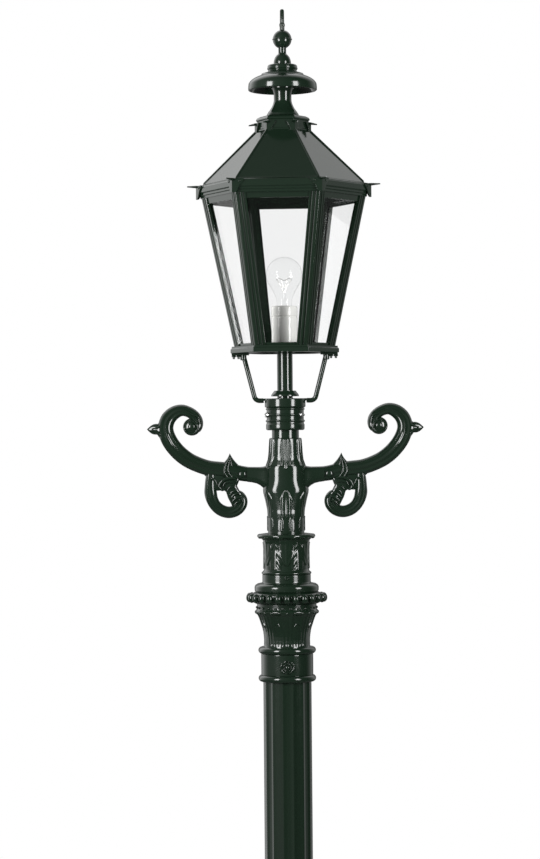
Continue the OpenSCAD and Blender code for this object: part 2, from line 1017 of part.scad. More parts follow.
// Leaf spring inside the cornice's front that grips the roof's lip
module roof_catch() {
    wall_y = -cornice_bore * cos(30);
    color(steel)
        in_lantern()
            union() {
                translate([-8, wall_y, cornice_z + 4])
                    cube([16, 1, 18]);
                translate([-8, wall_y + 2.05, cornice_z + 20])
                    rotate([0, 90, 0])
                        cylinder(r = 2, h = 16, $fn = 48);
            }
}

/* Lamp */

module lamp_holder() {
    color(porcelain)
        in_lantern()
            turned([[20, body_z], [holder_r, body_z + 2], [holder_r, holder_seam - 1],
                [holder_r - 1, holder_seam], [15.2, holder_seam], [15.2, holder_floor],
                [0, holder_floor]]);
}

module holder_ring() {
    color(porcelain)
        in_lantern()
            turned([[holder_r - 1, holder_seam], [holder_r, holder_seam + 1],
                [holder_r, holder_top - 2.6], [holder_r - 1.2, holder_top]], 14);
}

// Threaded shell and centre contact inside the porcelain
module holder_contacts() {
    color(brass)
        in_lantern() {
            pipe(14.6, 13.6, holder_floor + 6, holder_seam - 1);
            pipe(6, 2, holder_floor, holder_floor + 24);
        }
}

module bulb_cap() {
    color(steel)
        in_lantern()
            turned([[5, holder_seam - 7], [9, holder_seam - 3], [13, holder_seam],
                [13, holder_top + 0.4], [12.6, holder_top + 0.4], [12.6, holder_seam + 1],
                [0, holder_seam - 1]]);
}

module bulb_glass() {
    wall = 1;
    color(clear_glass)
        in_lantern()
            rotate_extrude()
                polygon(concat(
                    [[12.5, 610], [12.5, 628], [14.5, 638], [19, 650]],
                    arc(0, globe_z, globe_r, -36, 90, 14),
                    arc(0, globe_z, globe_r - wall, 90, -36, 14),
                    [[18, 650.4], [13.5, 638.3], [11.5, 628], [11.5, 610]]));
}

// Glass stem with the filament's support wires and the filament
module bulb_stem() {
    lean = 35;
    rise = 17;
    span = 1.5 + rise * tan(lean);
    color(steel)
        in_lantern()
            union() {
                turned([[11.4, 611], [8, 616], [3, 626], [2.4, stem_z - 4], [4, stem_z - 2],
                    [4, stem_z + 3], [0, stem_z + 5]]);
                for (side = [-1, 1])
                    translate([side * 1.5, 0, stem_z])
                        rotate([0, side * lean, 0])
                            cylinder(r = 0.8, h = rise / cos(lean) + 1.2, $fn = 16);
                translate([-span, 0, stem_z + rise])
                    rotate([0, 90, 0])
                        cylinder(r = 0.5, h = 2 * span, $fn = 16);
            }
}

/* Roof */

module roof_hood() {
    height = crown_z - roof_z;
    run = roof_foot_r - roof_head_r;
    pitch = atan2(height, run);
    color(paint)
        in_lantern()
            difference() {
                union() {
                    difference() {
                        translate([0, 0, roof_z])
                            cylinder(r1 = roof_foot_r, r2 = roof_head_r, h = height, $fn = 6);
                        translate([0, 0, roof_z + 3])
                            cylinder(r1 = roof_foot_r - roof_wall - 3, r2 = roof_head_r - roof_wall + 1,
                                h = height - 7, $fn = 6);
                        translate([0, 0, roof_z - cut])
                            cylinder(r = 109, h = 4 + cut, $fn = 6);
                    }
                    hex_ring(112, 109, roof_z - 8, roof_z + 1);
                    intersection() {
                        translate([0, 0, roof_z])
                            cylinder(r = roof_foot_r + 2, h = height);
                        around(6)
                            translate([roof_foot_r, 0, roof_z])
                                rotate([0, pitch - 180, 0])
                                    translate([-5, -2, -2.5])
                                        cube([norm([run, height]) + 10, 4, 5]);
                    }
                }
                translate([0, 0, crown_z - 10])
                    cylinder(r = rod_r + slip, h = 20, $fn = 48);
                around(6, 30)
                    translate([18, 0, crown_z - 10])
                        cylinder(r = 5, h = 20, $fn = 32);
            }
}

module roof_crown() {
    color(paint)
        in_lantern()
            difference() {
                union() {
                    translate([0, 0, crown_z])
                        cylinder(r = crown_r, h = crown_h, $fn = 6);
                    translate([0, 0, crown_z + crown_h])
                        cylinder(r1 = crown_r + 2, r2 = 31, h = chimney_z - crown_z - crown_h, $fn = 6);
                }
                translate([0, 0, crown_z - cut])
                    cylinder(r = 26, h = 12);
                translate([0, 0, crown_z])
                    cylinder(r = 12, h = 40);
            }
}

module crown_ears() {
    color(paint)
        in_lantern()
            difference() {
                around(6)
                    ear(crown_r, 57, crown_z + 0.4, crown_z + 13, 12);
                translate([0, 0, crown_z - cut])
                    cylinder(r = crown_r, h = crown_h, $fn = 6);
            }
}

module chimney() {
    color(paint)
        in_lantern()
            turned([[26.5, chimney_z], [26, 942], [23.7, 946], [20.8, 949.5], [18.5, 953],
                [16.9, 956], [15.6, 959.5], [14.6, 963], [14.6, 974], [15.6, 979],
                [17.6, cap_z]], 11);
}

module chimney_cap() {
    color(paint)
        in_lantern()
            turned(concat(
                [[19, cap_z], [21, cap_z + 8], [38, cap_z + 9], [49, cap_z + 4],
                    [54.6, cap_z - 3.5], [56.4, cap_z - 3], [57, cap_z], [56.6, cap_z + 7]],
                oval(0, cap_z + 6, 56, 22, 14, 48, 8),
                [[34.5, 1009.5], [26, 1013]],
                arc(22.6, 1017.5, 2.5, -60, 0, 3),
                arc(21, 1020, 4, 0, 90, 4),
                [[16, finial_z]]), rod_r + slip);
}

module finial_base() {
    color(paint)
        in_lantern()
            turned(concat([[14.4, finial_z]],
                oval(0, finial_z + 1.4, 14.4, 17.5, 0, 63, 8),
                [[6.5, 1043], [6.5, ball_z]]), rod_r + slip);
}

module finial_ball() {
    color(paint)
        in_lantern()
            difference() {
                turned(concat(
                    arc(0, 1065.7, 15.6, -59.9, -5, 8),
                    [[16.7, 1065.2], [16.7, 1066.2]],
                    arc(0, 1065.7, 15.6, 5, 75, 8),
                    [[4, 1082.5], [4, spike_z]]));
                translate([0, 0, ball_z - cut])
                    cylinder(r = rod_r + slip, h = 22);
                translate([0, 0, spike_z - 6])
                    cylinder(r = 1.5 + slip, h = 10, $fn = 32);
            }
}

module finial_spike() {
    color(paint)
        in_lantern()
            turned([[1.5, spike_z - 5], [1.5, spike_z], [4.6, spike_z], [4.6, spike_z + 5],
                [3.5, spike_z + 6], [3.5, tip_z - 2.5], [2.4, tip_z - 0.6], [0, tip_z]]);
}

module tie_rod() {
    color(steel)
        in_lantern()
            translate([0, 0, rod_low])
                cylinder(r = rod_r, h = rod_high - rod_low, $fn = 48);
}

module tie_rod_nut() {
    color(steel)
        in_lantern()
            difference() {
                translate([0, 0, crown_z - 9])
                    cylinder(r = 6, h = 5, $fn = 6);
                translate([0, 0, crown_z - 12])
                    cylinder(r = rod_r + slip, h = 10, $fn = 48);
            }
}

/* Roof hinge at the back of the lantern */

module on_roof_axis(x) {
    translate([x, roof_axis_y, roof_axis_z])
        rotate([0, 90, 0])
            children();
}

module roof_knuckles(spans) {
    for (s = spans)
        on_roof_axis(s[0])
            cylinder(r = roof_knuckle_r, h = s[1] - s[0], $fn = 48);
}

module hinge_leaf_fixed() {
    face = cornice_r * cos(30);
    spans = [[-hinge_half, -24.2], [-7.8, 7.8], [24.2, hinge_half]];
    color(paint)
        in_lantern()
            difference() {
                union() {
                    translate([-hinge_half, face, cornice_z + 11.4])
                        cube([2 * hinge_half, 2.4, 9]);
                    for (s = spans)
                        translate([s[0], face, cornice_z + 14])
                            cube([s[1] - s[0], roof_axis_y - face, roof_axis_z - cornice_z - 14]);
                    roof_knuckles(spans);
                }
                translate([0, 0, roof_z - 20])
                    cylinder(r = cornice_r, h = 40, $fn = 6);
                on_roof_axis(-60)
                    cylinder(r = roof_pin_r + slip, h = 120, $fn = 48);
            }
}

module hinge_leaf_roof() {
    edge = roof_foot_r * cos(30);
    spans = [[-23.8, -8.2], [8.2, 23.8]];
    color(paint)
        in_lantern()
            difference() {
                union() {
                    for (s = spans)
                        translate([s[0], edge, roof_z])
                            cube([s[1] - s[0], roof_axis_y - edge, 3]);
                    roof_knuckles(spans);
                }
                translate([0, 0, roof_z - 10])
                    cylinder(r = roof_foot_r, h = 20, $fn = 6);
                on_roof_axis(-60)
                    cylinder(r = roof_pin_r + slip, h = 120, $fn = 48);
            }
}

module hinge_pin() {
    color(steel)
        in_lantern()
            on_roof_axis(-hinge_half - 1)
                cylinder(r = roof_pin_r, h = 2 * hinge_half + 2, $fn = 48);
}

base_flange();
flange_bolts();
pedestal();
access_door();
door_hinge_pins();
door_lock();
lock_cam();
board_bracket();
terminal_board();
fuse_block();
board_screws();
lamp_cable();
shaft();
shaft_foot_ring();
neck_band();
band_rosettes();
capital();
bead_ring();
leaf_socket();
socket_screws();
post_hub();
ladder_arm_left();
ladder_arm_right();
arm_bolts();
core_tube();
lantern_collar();
collar_screws();
lantern_yoke();
yoke_nut();
yoke_foot_screws();
conduit_tube();
conduit_nuts();
lantern_floor();
lantern_base_ring();
corner_posts();
glass_panes();
glazing_strips();
lantern_cornice();
cornice_ears();
ear_screws();
roof_catch();
lamp_holder();
holder_ring();
holder_contacts();
bulb_glass();
bulb_cap();
bulb_stem();
roof_hood();
roof_crown();
crown_ears();
chimney();
chimney_cap();
finial_base();
finial_ball();
finial_spike();
tie_rod();
tie_rod_nut();
hinge_leaf_fixed();
hinge_leaf_roof();
hinge_pin();
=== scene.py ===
# Street lamp post: finished castings, lantern, lamp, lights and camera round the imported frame.
import bpy
import bmesh
import json
import math
from mathutils import Matrix, Vector

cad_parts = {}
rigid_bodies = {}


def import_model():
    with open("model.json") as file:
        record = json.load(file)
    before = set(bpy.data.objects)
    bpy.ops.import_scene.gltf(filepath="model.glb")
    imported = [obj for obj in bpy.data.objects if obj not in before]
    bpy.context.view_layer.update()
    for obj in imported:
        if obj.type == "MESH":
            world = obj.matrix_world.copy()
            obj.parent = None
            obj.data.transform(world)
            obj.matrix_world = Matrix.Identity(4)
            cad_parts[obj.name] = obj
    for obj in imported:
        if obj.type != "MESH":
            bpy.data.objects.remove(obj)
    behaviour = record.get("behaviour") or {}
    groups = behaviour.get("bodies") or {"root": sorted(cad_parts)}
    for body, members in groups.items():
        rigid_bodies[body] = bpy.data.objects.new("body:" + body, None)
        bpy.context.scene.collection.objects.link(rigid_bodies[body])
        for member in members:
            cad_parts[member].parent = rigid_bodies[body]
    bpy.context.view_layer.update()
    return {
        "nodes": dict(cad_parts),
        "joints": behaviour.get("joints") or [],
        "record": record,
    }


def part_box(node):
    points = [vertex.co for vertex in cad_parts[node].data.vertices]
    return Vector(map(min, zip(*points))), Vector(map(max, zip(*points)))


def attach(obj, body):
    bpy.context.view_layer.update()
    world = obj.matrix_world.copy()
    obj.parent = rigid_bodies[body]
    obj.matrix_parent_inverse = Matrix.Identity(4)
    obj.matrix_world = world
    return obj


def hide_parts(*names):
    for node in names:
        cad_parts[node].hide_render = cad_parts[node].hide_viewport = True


for leftover in list(bpy.data.objects):
    bpy.data.objects.remove(leftover)

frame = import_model()

MM = 0.001
COS30 = math.cos(math.radians(30))
record = frame["record"]
BODY = {n: b for b, names in record["behaviour"]["bodies"].items() for n in names}
SLOT = {p["node"]: p["material_slot"] for p in record["subparts"]}
roof_axis = next(j for j in frame["joints"] if j["name"] == "roof_hinge")["pos_m"]
TURN = math.atan2(-roof_axis[0], roof_axis[1])
FRONT = math.radians(270)
CREASE = math.radians(38)
BORE = 22.5

SPANS = {node: (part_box(node)[0].z / MM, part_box(node)[1].z / MM) for node in frame["nodes"]}


def low(node):
    """Height of a CAD node's foot, in mm."""
    return SPANS[node][0]


def high(node):
    """Height of a CAD node's top, in mm."""
    return SPANS[node][1]


def middle(node):
    """Height of a CAD node's middle, in mm."""
    return (low(node) + high(node)) / 2


# ---- outlines

def oval(cr, cz, rr, rz, start, end, steps=14):
    """Points [r, z] along an ellipse with half axes rr and rz, angles in degrees."""
    rows = []
    for i in range(steps + 1):
        a = math.radians(start + (end - start) * i / steps)
        rows.append((cr + rr * math.cos(a), cz + rz * math.sin(a)))
    return rows


def arc(cr, cz, rad, start, end, steps=8):
    """Points [r, z] along a circle."""
    return oval(cr, cz, rad, rad, start, end, steps)


def soften(points, size, steps=3):
    """Rounds the corners of an open outline that turn by more than 20 degrees."""
    out = [points[0]]
    for a, b, c in zip(points, points[1:], points[2:]):
        va, vc = Vector(a) - Vector(b), Vector(c) - Vector(b)
        if va.length < 1e-6 or vc.length < 1e-6:
            continue
        if va.angle(vc) > math.radians(160):
            out.append(b)
            continue
        d = min(size, 0.45 * va.length, 0.45 * vc.length)
        p, q = Vector(b) + va.normalized() * d, Vector(b) + vc.normalized() * d
        for i in range(steps + 1):
            t = i / steps
            w = p * (1 - t) ** 2 + Vector(b) * 2 * t * (1 - t) + q * t * t
            out.append((w.x, w.y))
    out.append(points[-1])
    return out


def resample(points, step):
    """The outline with points no further apart than step."""
    out = [points[0]]
    for a, b in zip(points, points[1:]):
        n = max(1, math.ceil((Vector(b) - Vector(a)).length / step))
        out += [(a[0] + (b[0] - a[0]) * i / n, a[1] + (b[1] - a[1]) * i / n)
                for i in range(1, n + 1)]
    return out


def spline(rows, steps=6):
    """Catmull-Rom curve through rows of numbers."""
    out = []
    for k in range(len(rows) - 1):
        p = [Vector(rows[min(max(k + d, 0), len(rows) - 1)]) for d in (-1, 0, 1, 2)]
        for i in range(steps):
            t = i / steps
            out.append(0.5 * (2 * p[1] + (p[2] - p[0]) * t
                       + (2 * p[0] - 5 * p[1] + 4 * p[2] - p[3]) * t * t
                       + (3 * p[1] - p[0] - 3 * p[2] + p[3]) * t ** 3))
    out.append(Vector(rows[-1]))
    return out


def ramp(x, lo, hi):
    """Smooth step from 0 at lo to 1 at hi."""
    t = max(0.0, min(1.0, (x - lo) / (hi - lo)))
    return t * t * (3 - 2 * t)


# ---- meshes

def mesh_object(name, verts, faces):
    """A mesh in metres from points in mm, merged, with edges above the crease angle kept crisp."""
    mesh = bpy.data.meshes.new(name)
    mesh.from_pydata([(x * MM, y * MM, z * MM) for x, y, z in verts], [], faces)
    bm = bmesh.new()
    bm.from_mesh(mesh)
    bmesh.ops.remove_doubles(bm, verts=bm.verts, dist=2e-6)
    bmesh.ops.dissolve_degenerate(bm, edges=bm.edges, dist=1e-7)
    bmesh.ops.recalc_face_normals(bm, faces=bm.faces)
    for f in bm.faces:
        f.smooth = True
    for e in bm.edges:
        e.smooth = len(e.link_faces) == 2 and e.calc_face_angle(0) < CREASE
    bm.to_mesh(mesh)
    bm.free()
    obj = bpy.data.objects.new(name, mesh)
    bpy.context.scene.collection.objects.link(obj)
    return obj


def turns(count):
    """Even angles round a full circle."""
    return [2 * math.pi * j / count for j in range(count)]


def circle(r, seg, x=0.0, y=0.0):
    """Points (x, y) of a circle."""
    return [(x + r * math.cos(a), y + r * math.sin(a)) for a in turns(seg)]


def skin(rings, loop=False, caps=True):
    """Points and faces of a skin over rings that all have the same number of points."""
    n, count = len(rings[0]), len(rings)
    verts = [tuple(p) for ring in rings for p in ring]
    faces = []
    for i in range(count if loop else count - 1):
        a, b = i * n, (i + 1) % count * n
        for j in range(n):
            k = (j + 1) % n
            faces.append((a + j, a + k, b + k, b + j))
    if caps and not loop:
        faces.append(tuple(reversed(range(n))))
        faces.append(tuple(range((count - 1) * n, count * n)))
    return verts, faces


def join(parts):
    """One (points, faces) pair from several."""
    verts, faces = [], []
    for v, f in parts:
        base = len(verts)
        verts += v
        faces += [tuple(i + base for i in face) for face in f]
    return verts, faces


def moved(part, matrix):
    return [tuple(matrix @ Vector(v)) for v in part[0]], part[1]


def turned_by(part, angle):
    return moved(part, Matrix.Rotation(angle, 4, "Z"))


def repeated(part, count, start=0.0):
    """Copies of a part at even angles round the axis."""
    return join([turned_by(part, start + a) for a in turns(count)])


def outward(angle, reach, z):
    """Places a part, standing on its own +Z, on the outside of the post."""
    place = Matrix.Rotation(angle, 4, "Z") @ Matrix.Translation((reach, 0, z))
    return place @ Matrix.Rotation(math.pi / 2, 4, "Y")


def lathe(outline, bore=0.0, seg=128, soft=0.8, push=None):
    """A turned body around the Z axis; push(angle, r, z) adds to the radius."""
    pts = soften(outline, soft) if soft else list(outline)
    rows = [(bore, pts[0][1])] + pts + [(bore, pts[-1][1])]
    rings = []
    for k, (r, z) in enumerate(rows):
        ring = []
        for a in turns(seg):
            d = push(a, r, z) if push and 0 < k < len(rows) - 1 else 0.0
            ring.append(((r + d) * math.cos(a), (r + d) * math.sin(a), z))
        rings.append(ring)
    return skin(rings, loop=bore > 0, caps=False)


def hexagon(r, z, soft=1.5, steps=3):
    """Six-sided ring with softly rounded corners, corners on the lantern's X axis."""
    ring = []
    for i in range(6):
        a = math.radians(60 * i)
        c = r - soft / COS30
        for s in range(steps + 1):
            b = a + math.radians(-30 + 60 * s / steps)
            ring.append((c * math.cos(a) + soft * math.cos(b),
                         c * math.sin(a) + soft * math.sin(b), z))
    return ring


def hex_lathe(outline, soft=0.8, corner=1.5, bore=None):
    """A six-sided body from an outline [r, z]; bore is the radius of its inner corners."""
    pts = soften(outline, soft) if soft else list(outline)
    if bore is not None:
        pts = [(bore, pts[0][1])] + pts + [(bore, pts[-1][1])]
    rings = [hexagon(r, z, min(corner, 0.4 * r)) for r, z in pts]
    return skin(rings, loop=bore is not None)


def prism(outline, depth0, depth1, soft=0.6):
    """An outline [x, z] standing in the XZ plane between y = depth0 and depth1, edges eased."""
    pts = [Vector(p) for p in outline]
    n = len(pts)
    inner = []
    for i in range(n):
        a, b = (pts[i] - pts[i - 1]).normalized(), (pts[(i + 1) % n] - pts[i]).normalized()
        side = Vector((-(a + b).y, (a + b).x))
        side = side.normalized() if side.length > 1e-6 else Vector((-a.y, a.x))
        stretch = max(0.4, side.dot(Vector((-a.y, a.x))))
        inner.append(pts[i] + side * soft / stretch)
    area = sum(p.x * q.y - q.x * p.y for p, q in zip(pts, pts[1:] + pts[:1]))
    if area < 0:
        inner = [2 * p - q for p, q in zip(pts, inner)]
    levels = [(inner, depth0), (pts, depth0 + soft), (pts, depth1 - soft), (inner, depth1)]
    return skin([[(p.x, y, p.y) for p in ring] for ring, y in levels])


def slab(x0, x1, z0, z1, y0, y1, soft=0.4):
    """A flat block with eased edges."""
    return prism([(x0, z0), (x1, z0), (x1, z1), (x0, z1)], y0, y1, soft)


def rod(path, radius, seg=24):
    """A round bar along points in mm; radius is one number or one for each point."""
    pts = [Vector(p) for p in path]
    rings = []
    for i, p in enumerate(pts):
        t = (pts[min(i + 1, len(pts) - 1)] - pts[max(i - 1, 0)]).normalized()
        u = t.cross(Vector((0, 1, 0)))
        u = u.normalized() if u.length > 0.1 else Vector((1, 0, 0))
        v = t.cross(u)
        rad = radius[i] if isinstance(radius, (list, tuple)) else radius
        rings.append([p + u * x + v * y for x, y in circle(rad, seg)])
    return skin(rings)


def ball(centre, radii, seg=24, rows=12):
    """An ellipsoid with half axes radii."""
    x, y, z = centre
    rings = []
    for i in range(rows + 1):
        b = math.pi * (i / rows - 0.5)
        level = z + radii[2] * math.sin(b)
        rings.append([(x + radii[0] * c, y + radii[1] * s, level) for c, s in circle(math.cos(b), seg)])
    return skin(rings, caps=False)


def screw_head(radius, height, sides=6, shank_r=0.0, shank_len=0.0):
    """Head on z = 0 with eased edges, and a shank below it."""
    ease = 0.18 * height
    rows = [(radius - ease, 0), (radius, ease), (radius, height - ease), (radius - 1.6 * ease, height)]
    parts = [skin([[(x, y, z) for x, y in circle(r, sides)] for r, z in rows])]
    if shank_len:
        parts.append(skin([[(x, y, z) for x, y in circle(shank_r, 20)] for z in (-shank_len, 0.2)]))
    return join(parts)


# ---- materials

def put(tree, kind, inputs, **settings):
    """Adds a shader node; inputs holds values or other nodes' sockets by name or number."""
    node = tree.nodes.new("ShaderNode" + kind)
    for key, value in settings.items():
        setattr(node, key, value)
    for key, value in inputs.items():
        if isinstance(value, bpy.types.NodeSocket):
            tree.links.new(value, node.inputs[key])
        else:
            node.inputs[key].default_value = value
    return node


def ranged(tree, source, span, target, kind="LINEAR"):
    """Maps a socket's value from the span to the target range."""
    inputs = {"Value": source, "From Min": span[0], "From Max": span[1],
              "To Min": target[0], "To Max": target[1]}
    return put(tree, "MapRange", inputs, interpolation_type=kind).outputs["Result"]


def new_material(name):
    mat = bpy.data.materials.new(name)
    mat.use_nodes = True
    return mat, mat.node_tree, mat.node_tree.nodes["Principled BSDF"]


def make_finish(name, colour, rough, metallic=0.0, bump=(150, 0.05, 0.0004)):
    """Opaque finish; noise drives a shallow bump (scale, strength, depth) and the roughness."""
    mat, tree, shader = new_material(name)
    shader.inputs["Base Color"].default_value = (*colour, 1)
    shader.inputs["Metallic"].default_value = metallic
    scale, strength, depth = bump
    place = put(tree, "TexCoord", {}).outputs["Object"]
    noise = put(tree, "TexNoise", {"Vector": place, "Scale": scale, "Detail": 3.0}).outputs["Fac"]
    relief = put(tree, "Bump", {"Height": noise, "Strength": strength, "Distance": depth})
    tree.links.new(relief.outputs["Normal"], shader.inputs["Normal"])
    tree.links.new(ranged(tree, noise, (0.3, 0.7), rough), shader.inputs["Roughness"])
    return mat


def make_glass(name, tint, shine=1.0, rough=0.02):
    """Thin clear glass: see-through straight on, mirror-like at a glance."""
    mat, tree, shader = new_material(name)
    facing = put(tree, "LayerWeight", {"Blend": 0.5}).outputs["Facing"]
    power = put(tree, "Math", {0: facing, 1: 5.0}, operation="POWER").outputs[0]
    share = put(tree, "Math", {0: power, 1: 0.96 * shine, 2: 0.04 * shine},
                operation="MULTIPLY_ADD").outputs[0]
    clear = put(tree, "BsdfTransparent", {"Color": (*tint, 1)}).outputs[0]
    gloss = put(tree, "BsdfGlossy", {"Roughness": rough}).outputs[0]
    mix = put(tree, "MixShader", {0: share, 1: clear, 2: gloss}).outputs[0]
    tree.links.new(mix, tree.nodes["Material Output"].inputs["Surface"])
    tree.nodes.remove(shader)
    return mat


MATERIALS = {
    "green_paint": make_finish("green_gloss_paint", (0.0064, 0.0142, 0.0082), (0.10, 0.15),
                               bump=(60, 0.020, 0.0003)),
    "steel": make_finish("zinc_steel", (0.52, 0.53, 0.52), (0.26, 0.40), 1.0),
    "grey_plastic": make_finish("insulating_board", (0.07, 0.07, 0.08), (0.4, 0.55)),
    "white_plastic": make_finish("fuse_plastic", (0.70, 0.70, 0.68), (0.35, 0.5)),
    "cable_sheath": make_finish("rubber_sheath", (0.02, 0.02, 0.02), (0.5, 0.7)),
    "porcelain": make_finish("glazed_porcelain", (0.80, 0.80, 0.77), (0.08, 0.16),
                             bump=(60, 0.04, 0.0005)),
    "brass": make_finish("brass_contact", (0.70, 0.50, 0.18), (0.25, 0.4), 1.0),
    "nickel": make_finish("nickel_cap", (0.62, 0.60, 0.55), (0.18, 0.3), 1.0),
    "lamp_wire": make_finish("lamp_stem", (0.55, 0.58, 0.58), (0.1, 0.2)),
    "bulb_glass": make_glass("bulb_clear_glass", (0.988, 0.99, 0.99), 0.4),
    "pane_glass": make_glass("pane_clear_glass", (0.985, 0.986, 0.986), 0.5),
}


def fit(name, part, node, slot=None, flat=False):
    """Makes the piece that stands for a CAD node; flat keeps its large faces plane."""
    obj = mesh_object(name, *part)
    if flat:
        even = obj.modifiers.new("even_normals", "WEIGHTED_NORMAL")
        even.keep_sharp = True
    key = slot or SLOT[node]
    obj.data.materials.append(MATERIALS[key])
    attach(obj, BODY[node])
    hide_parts(node)


def rise(outline, foot):
    """The outline [r, z] lifted to stand at height foot."""
    return [(r, z + foot) for r, z in outline]


# ---- relief patterns

def leaf(u, v, lobes=4.0, vein=0.16):
    """Height 0..1 of a lobed leaf; u is across in -1..1, v along from stalk 0 to tip 1."""
    if not 0 <= v <= 1:
        return 0.0
    width = math.sin(math.pi * min(1.0, 0.16 + 0.84 * v)) ** 0.55
    width *= 1 - 0.16 * abs(math.sin(math.pi * lobes * v))
    if width < 1e-3 or abs(u) >= width:
        return 0.0
    s = abs(u) / width
    body = math.sqrt(1 - s ** 4)
    rib = 0.35 * math.exp(-(u / 0.10) ** 2)
    groove = vein * (0.5 + 0.5 * math.cos(2 * math.pi * (lobes * v + 1.3 * s))) * ramp(s, 0.1, 0.3)
    return body * (0.62 + 0.38 * s) * (1 - groove) + rib * (1 - v * 0.6)


def around_leaf(angle, count, shift=0.0):
    """Offset of an angle from the nearest of count even places, as -1..1 of half a step."""
    step = 2 * math.pi / count
    a = (angle - shift) / step
    return 2 * (a - round(a))


# ---- shaft and capital

def fluted_shaft():
    """Round tube with fourteen shallow hollow flutes and narrow arrises."""
    count, depth = 14, 1.8
    r_out = (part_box("shaft")[1].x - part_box("shaft")[0].x) / 2 / MM
    foot, top = low("shaft"), high("shaft")
    first = FRONT - math.radians(12)

    def radius(a):
        u = abs(around_leaf(a, count, first))
        flat = 0.09
        if u < flat:
            return r_out
        t = (u - flat) / (1 - flat)
        return r_out - depth * math.sin(math.pi / 2 * min(1, 1.15 * t)) ** 0.8

    angles = [first + a for a in turns(count * 24)]
    inner, outer = [34.0] * len(angles), [radius(a) for a in angles]
    levels = [(outer, foot + (top - foot) * i / 4) for i in range(5)]
    return skin([[(r * math.cos(a), r * math.sin(a), z) for r, a in zip(reach, angles)]
                 for reach, z in [(inner, foot)] + levels + [(inner, top)]], loop=True)


def neck_band():
    """Band between two half-round rings, with a spigot down into the shaft."""
    top = high("shaft")
    outline = ([(33.9, low("neck_band")), (33.9, top), (42, top)]
               + arc(42.3, top + 5.5, 5.5, -90, 90, 14)
               + [(43.2, top + 11.4), (43.2, top + 12.8), (43.2, top + 44.6), (43.2, top + 46)]
               + arc(42.3, top + 52, 5.5, -90, 90, 14))
    return lathe(outline, BORE, 160, 0.5)


def rosette():
    """Two rows of crescent petals round a domed boss, face towards +Z."""
    parts = [lathe([(12.3, 0), (12.5, 1.8), (11.6, 2.6), (0, 3.0)], 0, 64, 0.3),
             ball((0, 0, 3.2), (4.2, 4.2, 3.6), 24, 12)]
    for count, reach, thick, lift in ((6, 10.6, 1.6, 3.0), (5, 6.6, 1.1, 3.6)):
        for start in turns(count):
            path = []
            for t in (-1, -0.6, 0, 0.6, 1):
                a = start + math.pi / count * (0.5 + 0.9 * t)
                r = reach * (1 - 0.16 * t * t)
                path.append((r * math.cos(a), r * math.sin(a), lift))
            parts.append(rod(path, [thick * k for k in (0.5, 0.9, 1, 0.9, 0.5)], 12))
    return join(parts)


def band_rosettes():
    return repeated(moved(rosette(), outward(0, 40.5, middle("band_rosettes"))), 2, FRONT)


def capital_push(a, _, z):
    """Long leaves with parallel ribs that open out under the bead ring."""
    foot = low("capital")
    v = (z - foot - 3) / 56
    u = around_leaf(a, 8, FRONT)
    tall = leaf(u * 1.05, 0.12 + 0.8 * v, 1.0, 0.0) * (0.80 + 0.20 * math.cos(15 * u))
    u = around_leaf(a, 8, FRONT + math.pi / 8)
    short = leaf(u * 1.7, 0.12 + 0.95 * (z - foot - 3) / 40, 1.0, 0.0)
    lift = ramp(z, foot + 1, foot + 5) * (1 - ramp(z, foot + 53, foot + 57))
    return lift * (2.3 * max(tall, 0.8 * short) - 0.7)


def capital():
    foot = low("capital")
    outline = rise([(38.5, 0), (37.6, 3), (36.8, 5), (36.8, 12.5), (37.3, 18.5), (38.3, 25.5),
                    (39.8, 32), (42.1, 38.5), (44.4, 45.5), (47, 52), (50.2, 55.5), (52.2, 58),
                    (52.4, 60), (50.6, 62), (49.4, 64.5), (49.4, 72)], foot)
    rows = resample(soften(outline, 1.2), 1.0)
    return lathe(rows, BORE, 384, 0, capital_push)


def capital_drops():
    """Two staggered rows of small leaf tips under the bead ring."""
    foot, count = low("capital"), 24
    lean = Matrix.Translation((51.0, 0, foot + 57.5)) @ Matrix.Rotation(math.radians(25), 4, "Y")
    tip = moved(ball((0, 0, 0), (2.3, 2.5, 3.0), 16, 8), lean)
    bead = ball((50.4, 0, foot + 65.5), (1.6, 2.9, 1.7), 16, 8)
    return join([repeated(tip, count, FRONT), repeated(bead, count, FRONT + math.pi / count)])


def bead_ring():
    """Ring of beads parted by narrow stops."""
    foot, top, mid, count = low("bead_ring"), high("bead_ring"), middle("bead_ring"), 26
    core = lathe([(52, foot), (58.5, foot + 3.4), (60.4, mid), (58.5, top - 3.4), (52, top)],
                 BORE, 160, 1.5)
    bead = ball((61.8, 0, mid), (6.0, 5.9, 7.6), 24, 14)
    stop = ball((59.6, 0, mid), (2.4, 1.3, 5.6), 12, 8)
    return join([core, repeated(bead, count, FRONT), repeated(stop, count, FRONT + math.pi / count)])


def socket_push(a, _, z):
    """Acanthus leaves that hang from the rim and turn up from the band."""
    foot = low("leaf_socket")
    v_down = (foot + 88 - z) / 44
    down = leaf(around_leaf(a, 6, FRONT) * 1.3, v_down, 2.0, 0.16)
    v_up = (z - foot - 38) / 44
    up = leaf(around_leaf(a, 6, FRONT + math.pi / 6) * 1.25, v_up, 3.4, 0.40)
    lift = ramp(z, foot + 34, foot + 38) * (1 - ramp(z, foot + 84, foot + 89))
    return lift * (2.3 * max(down, 0.85 * up) - 0.4)


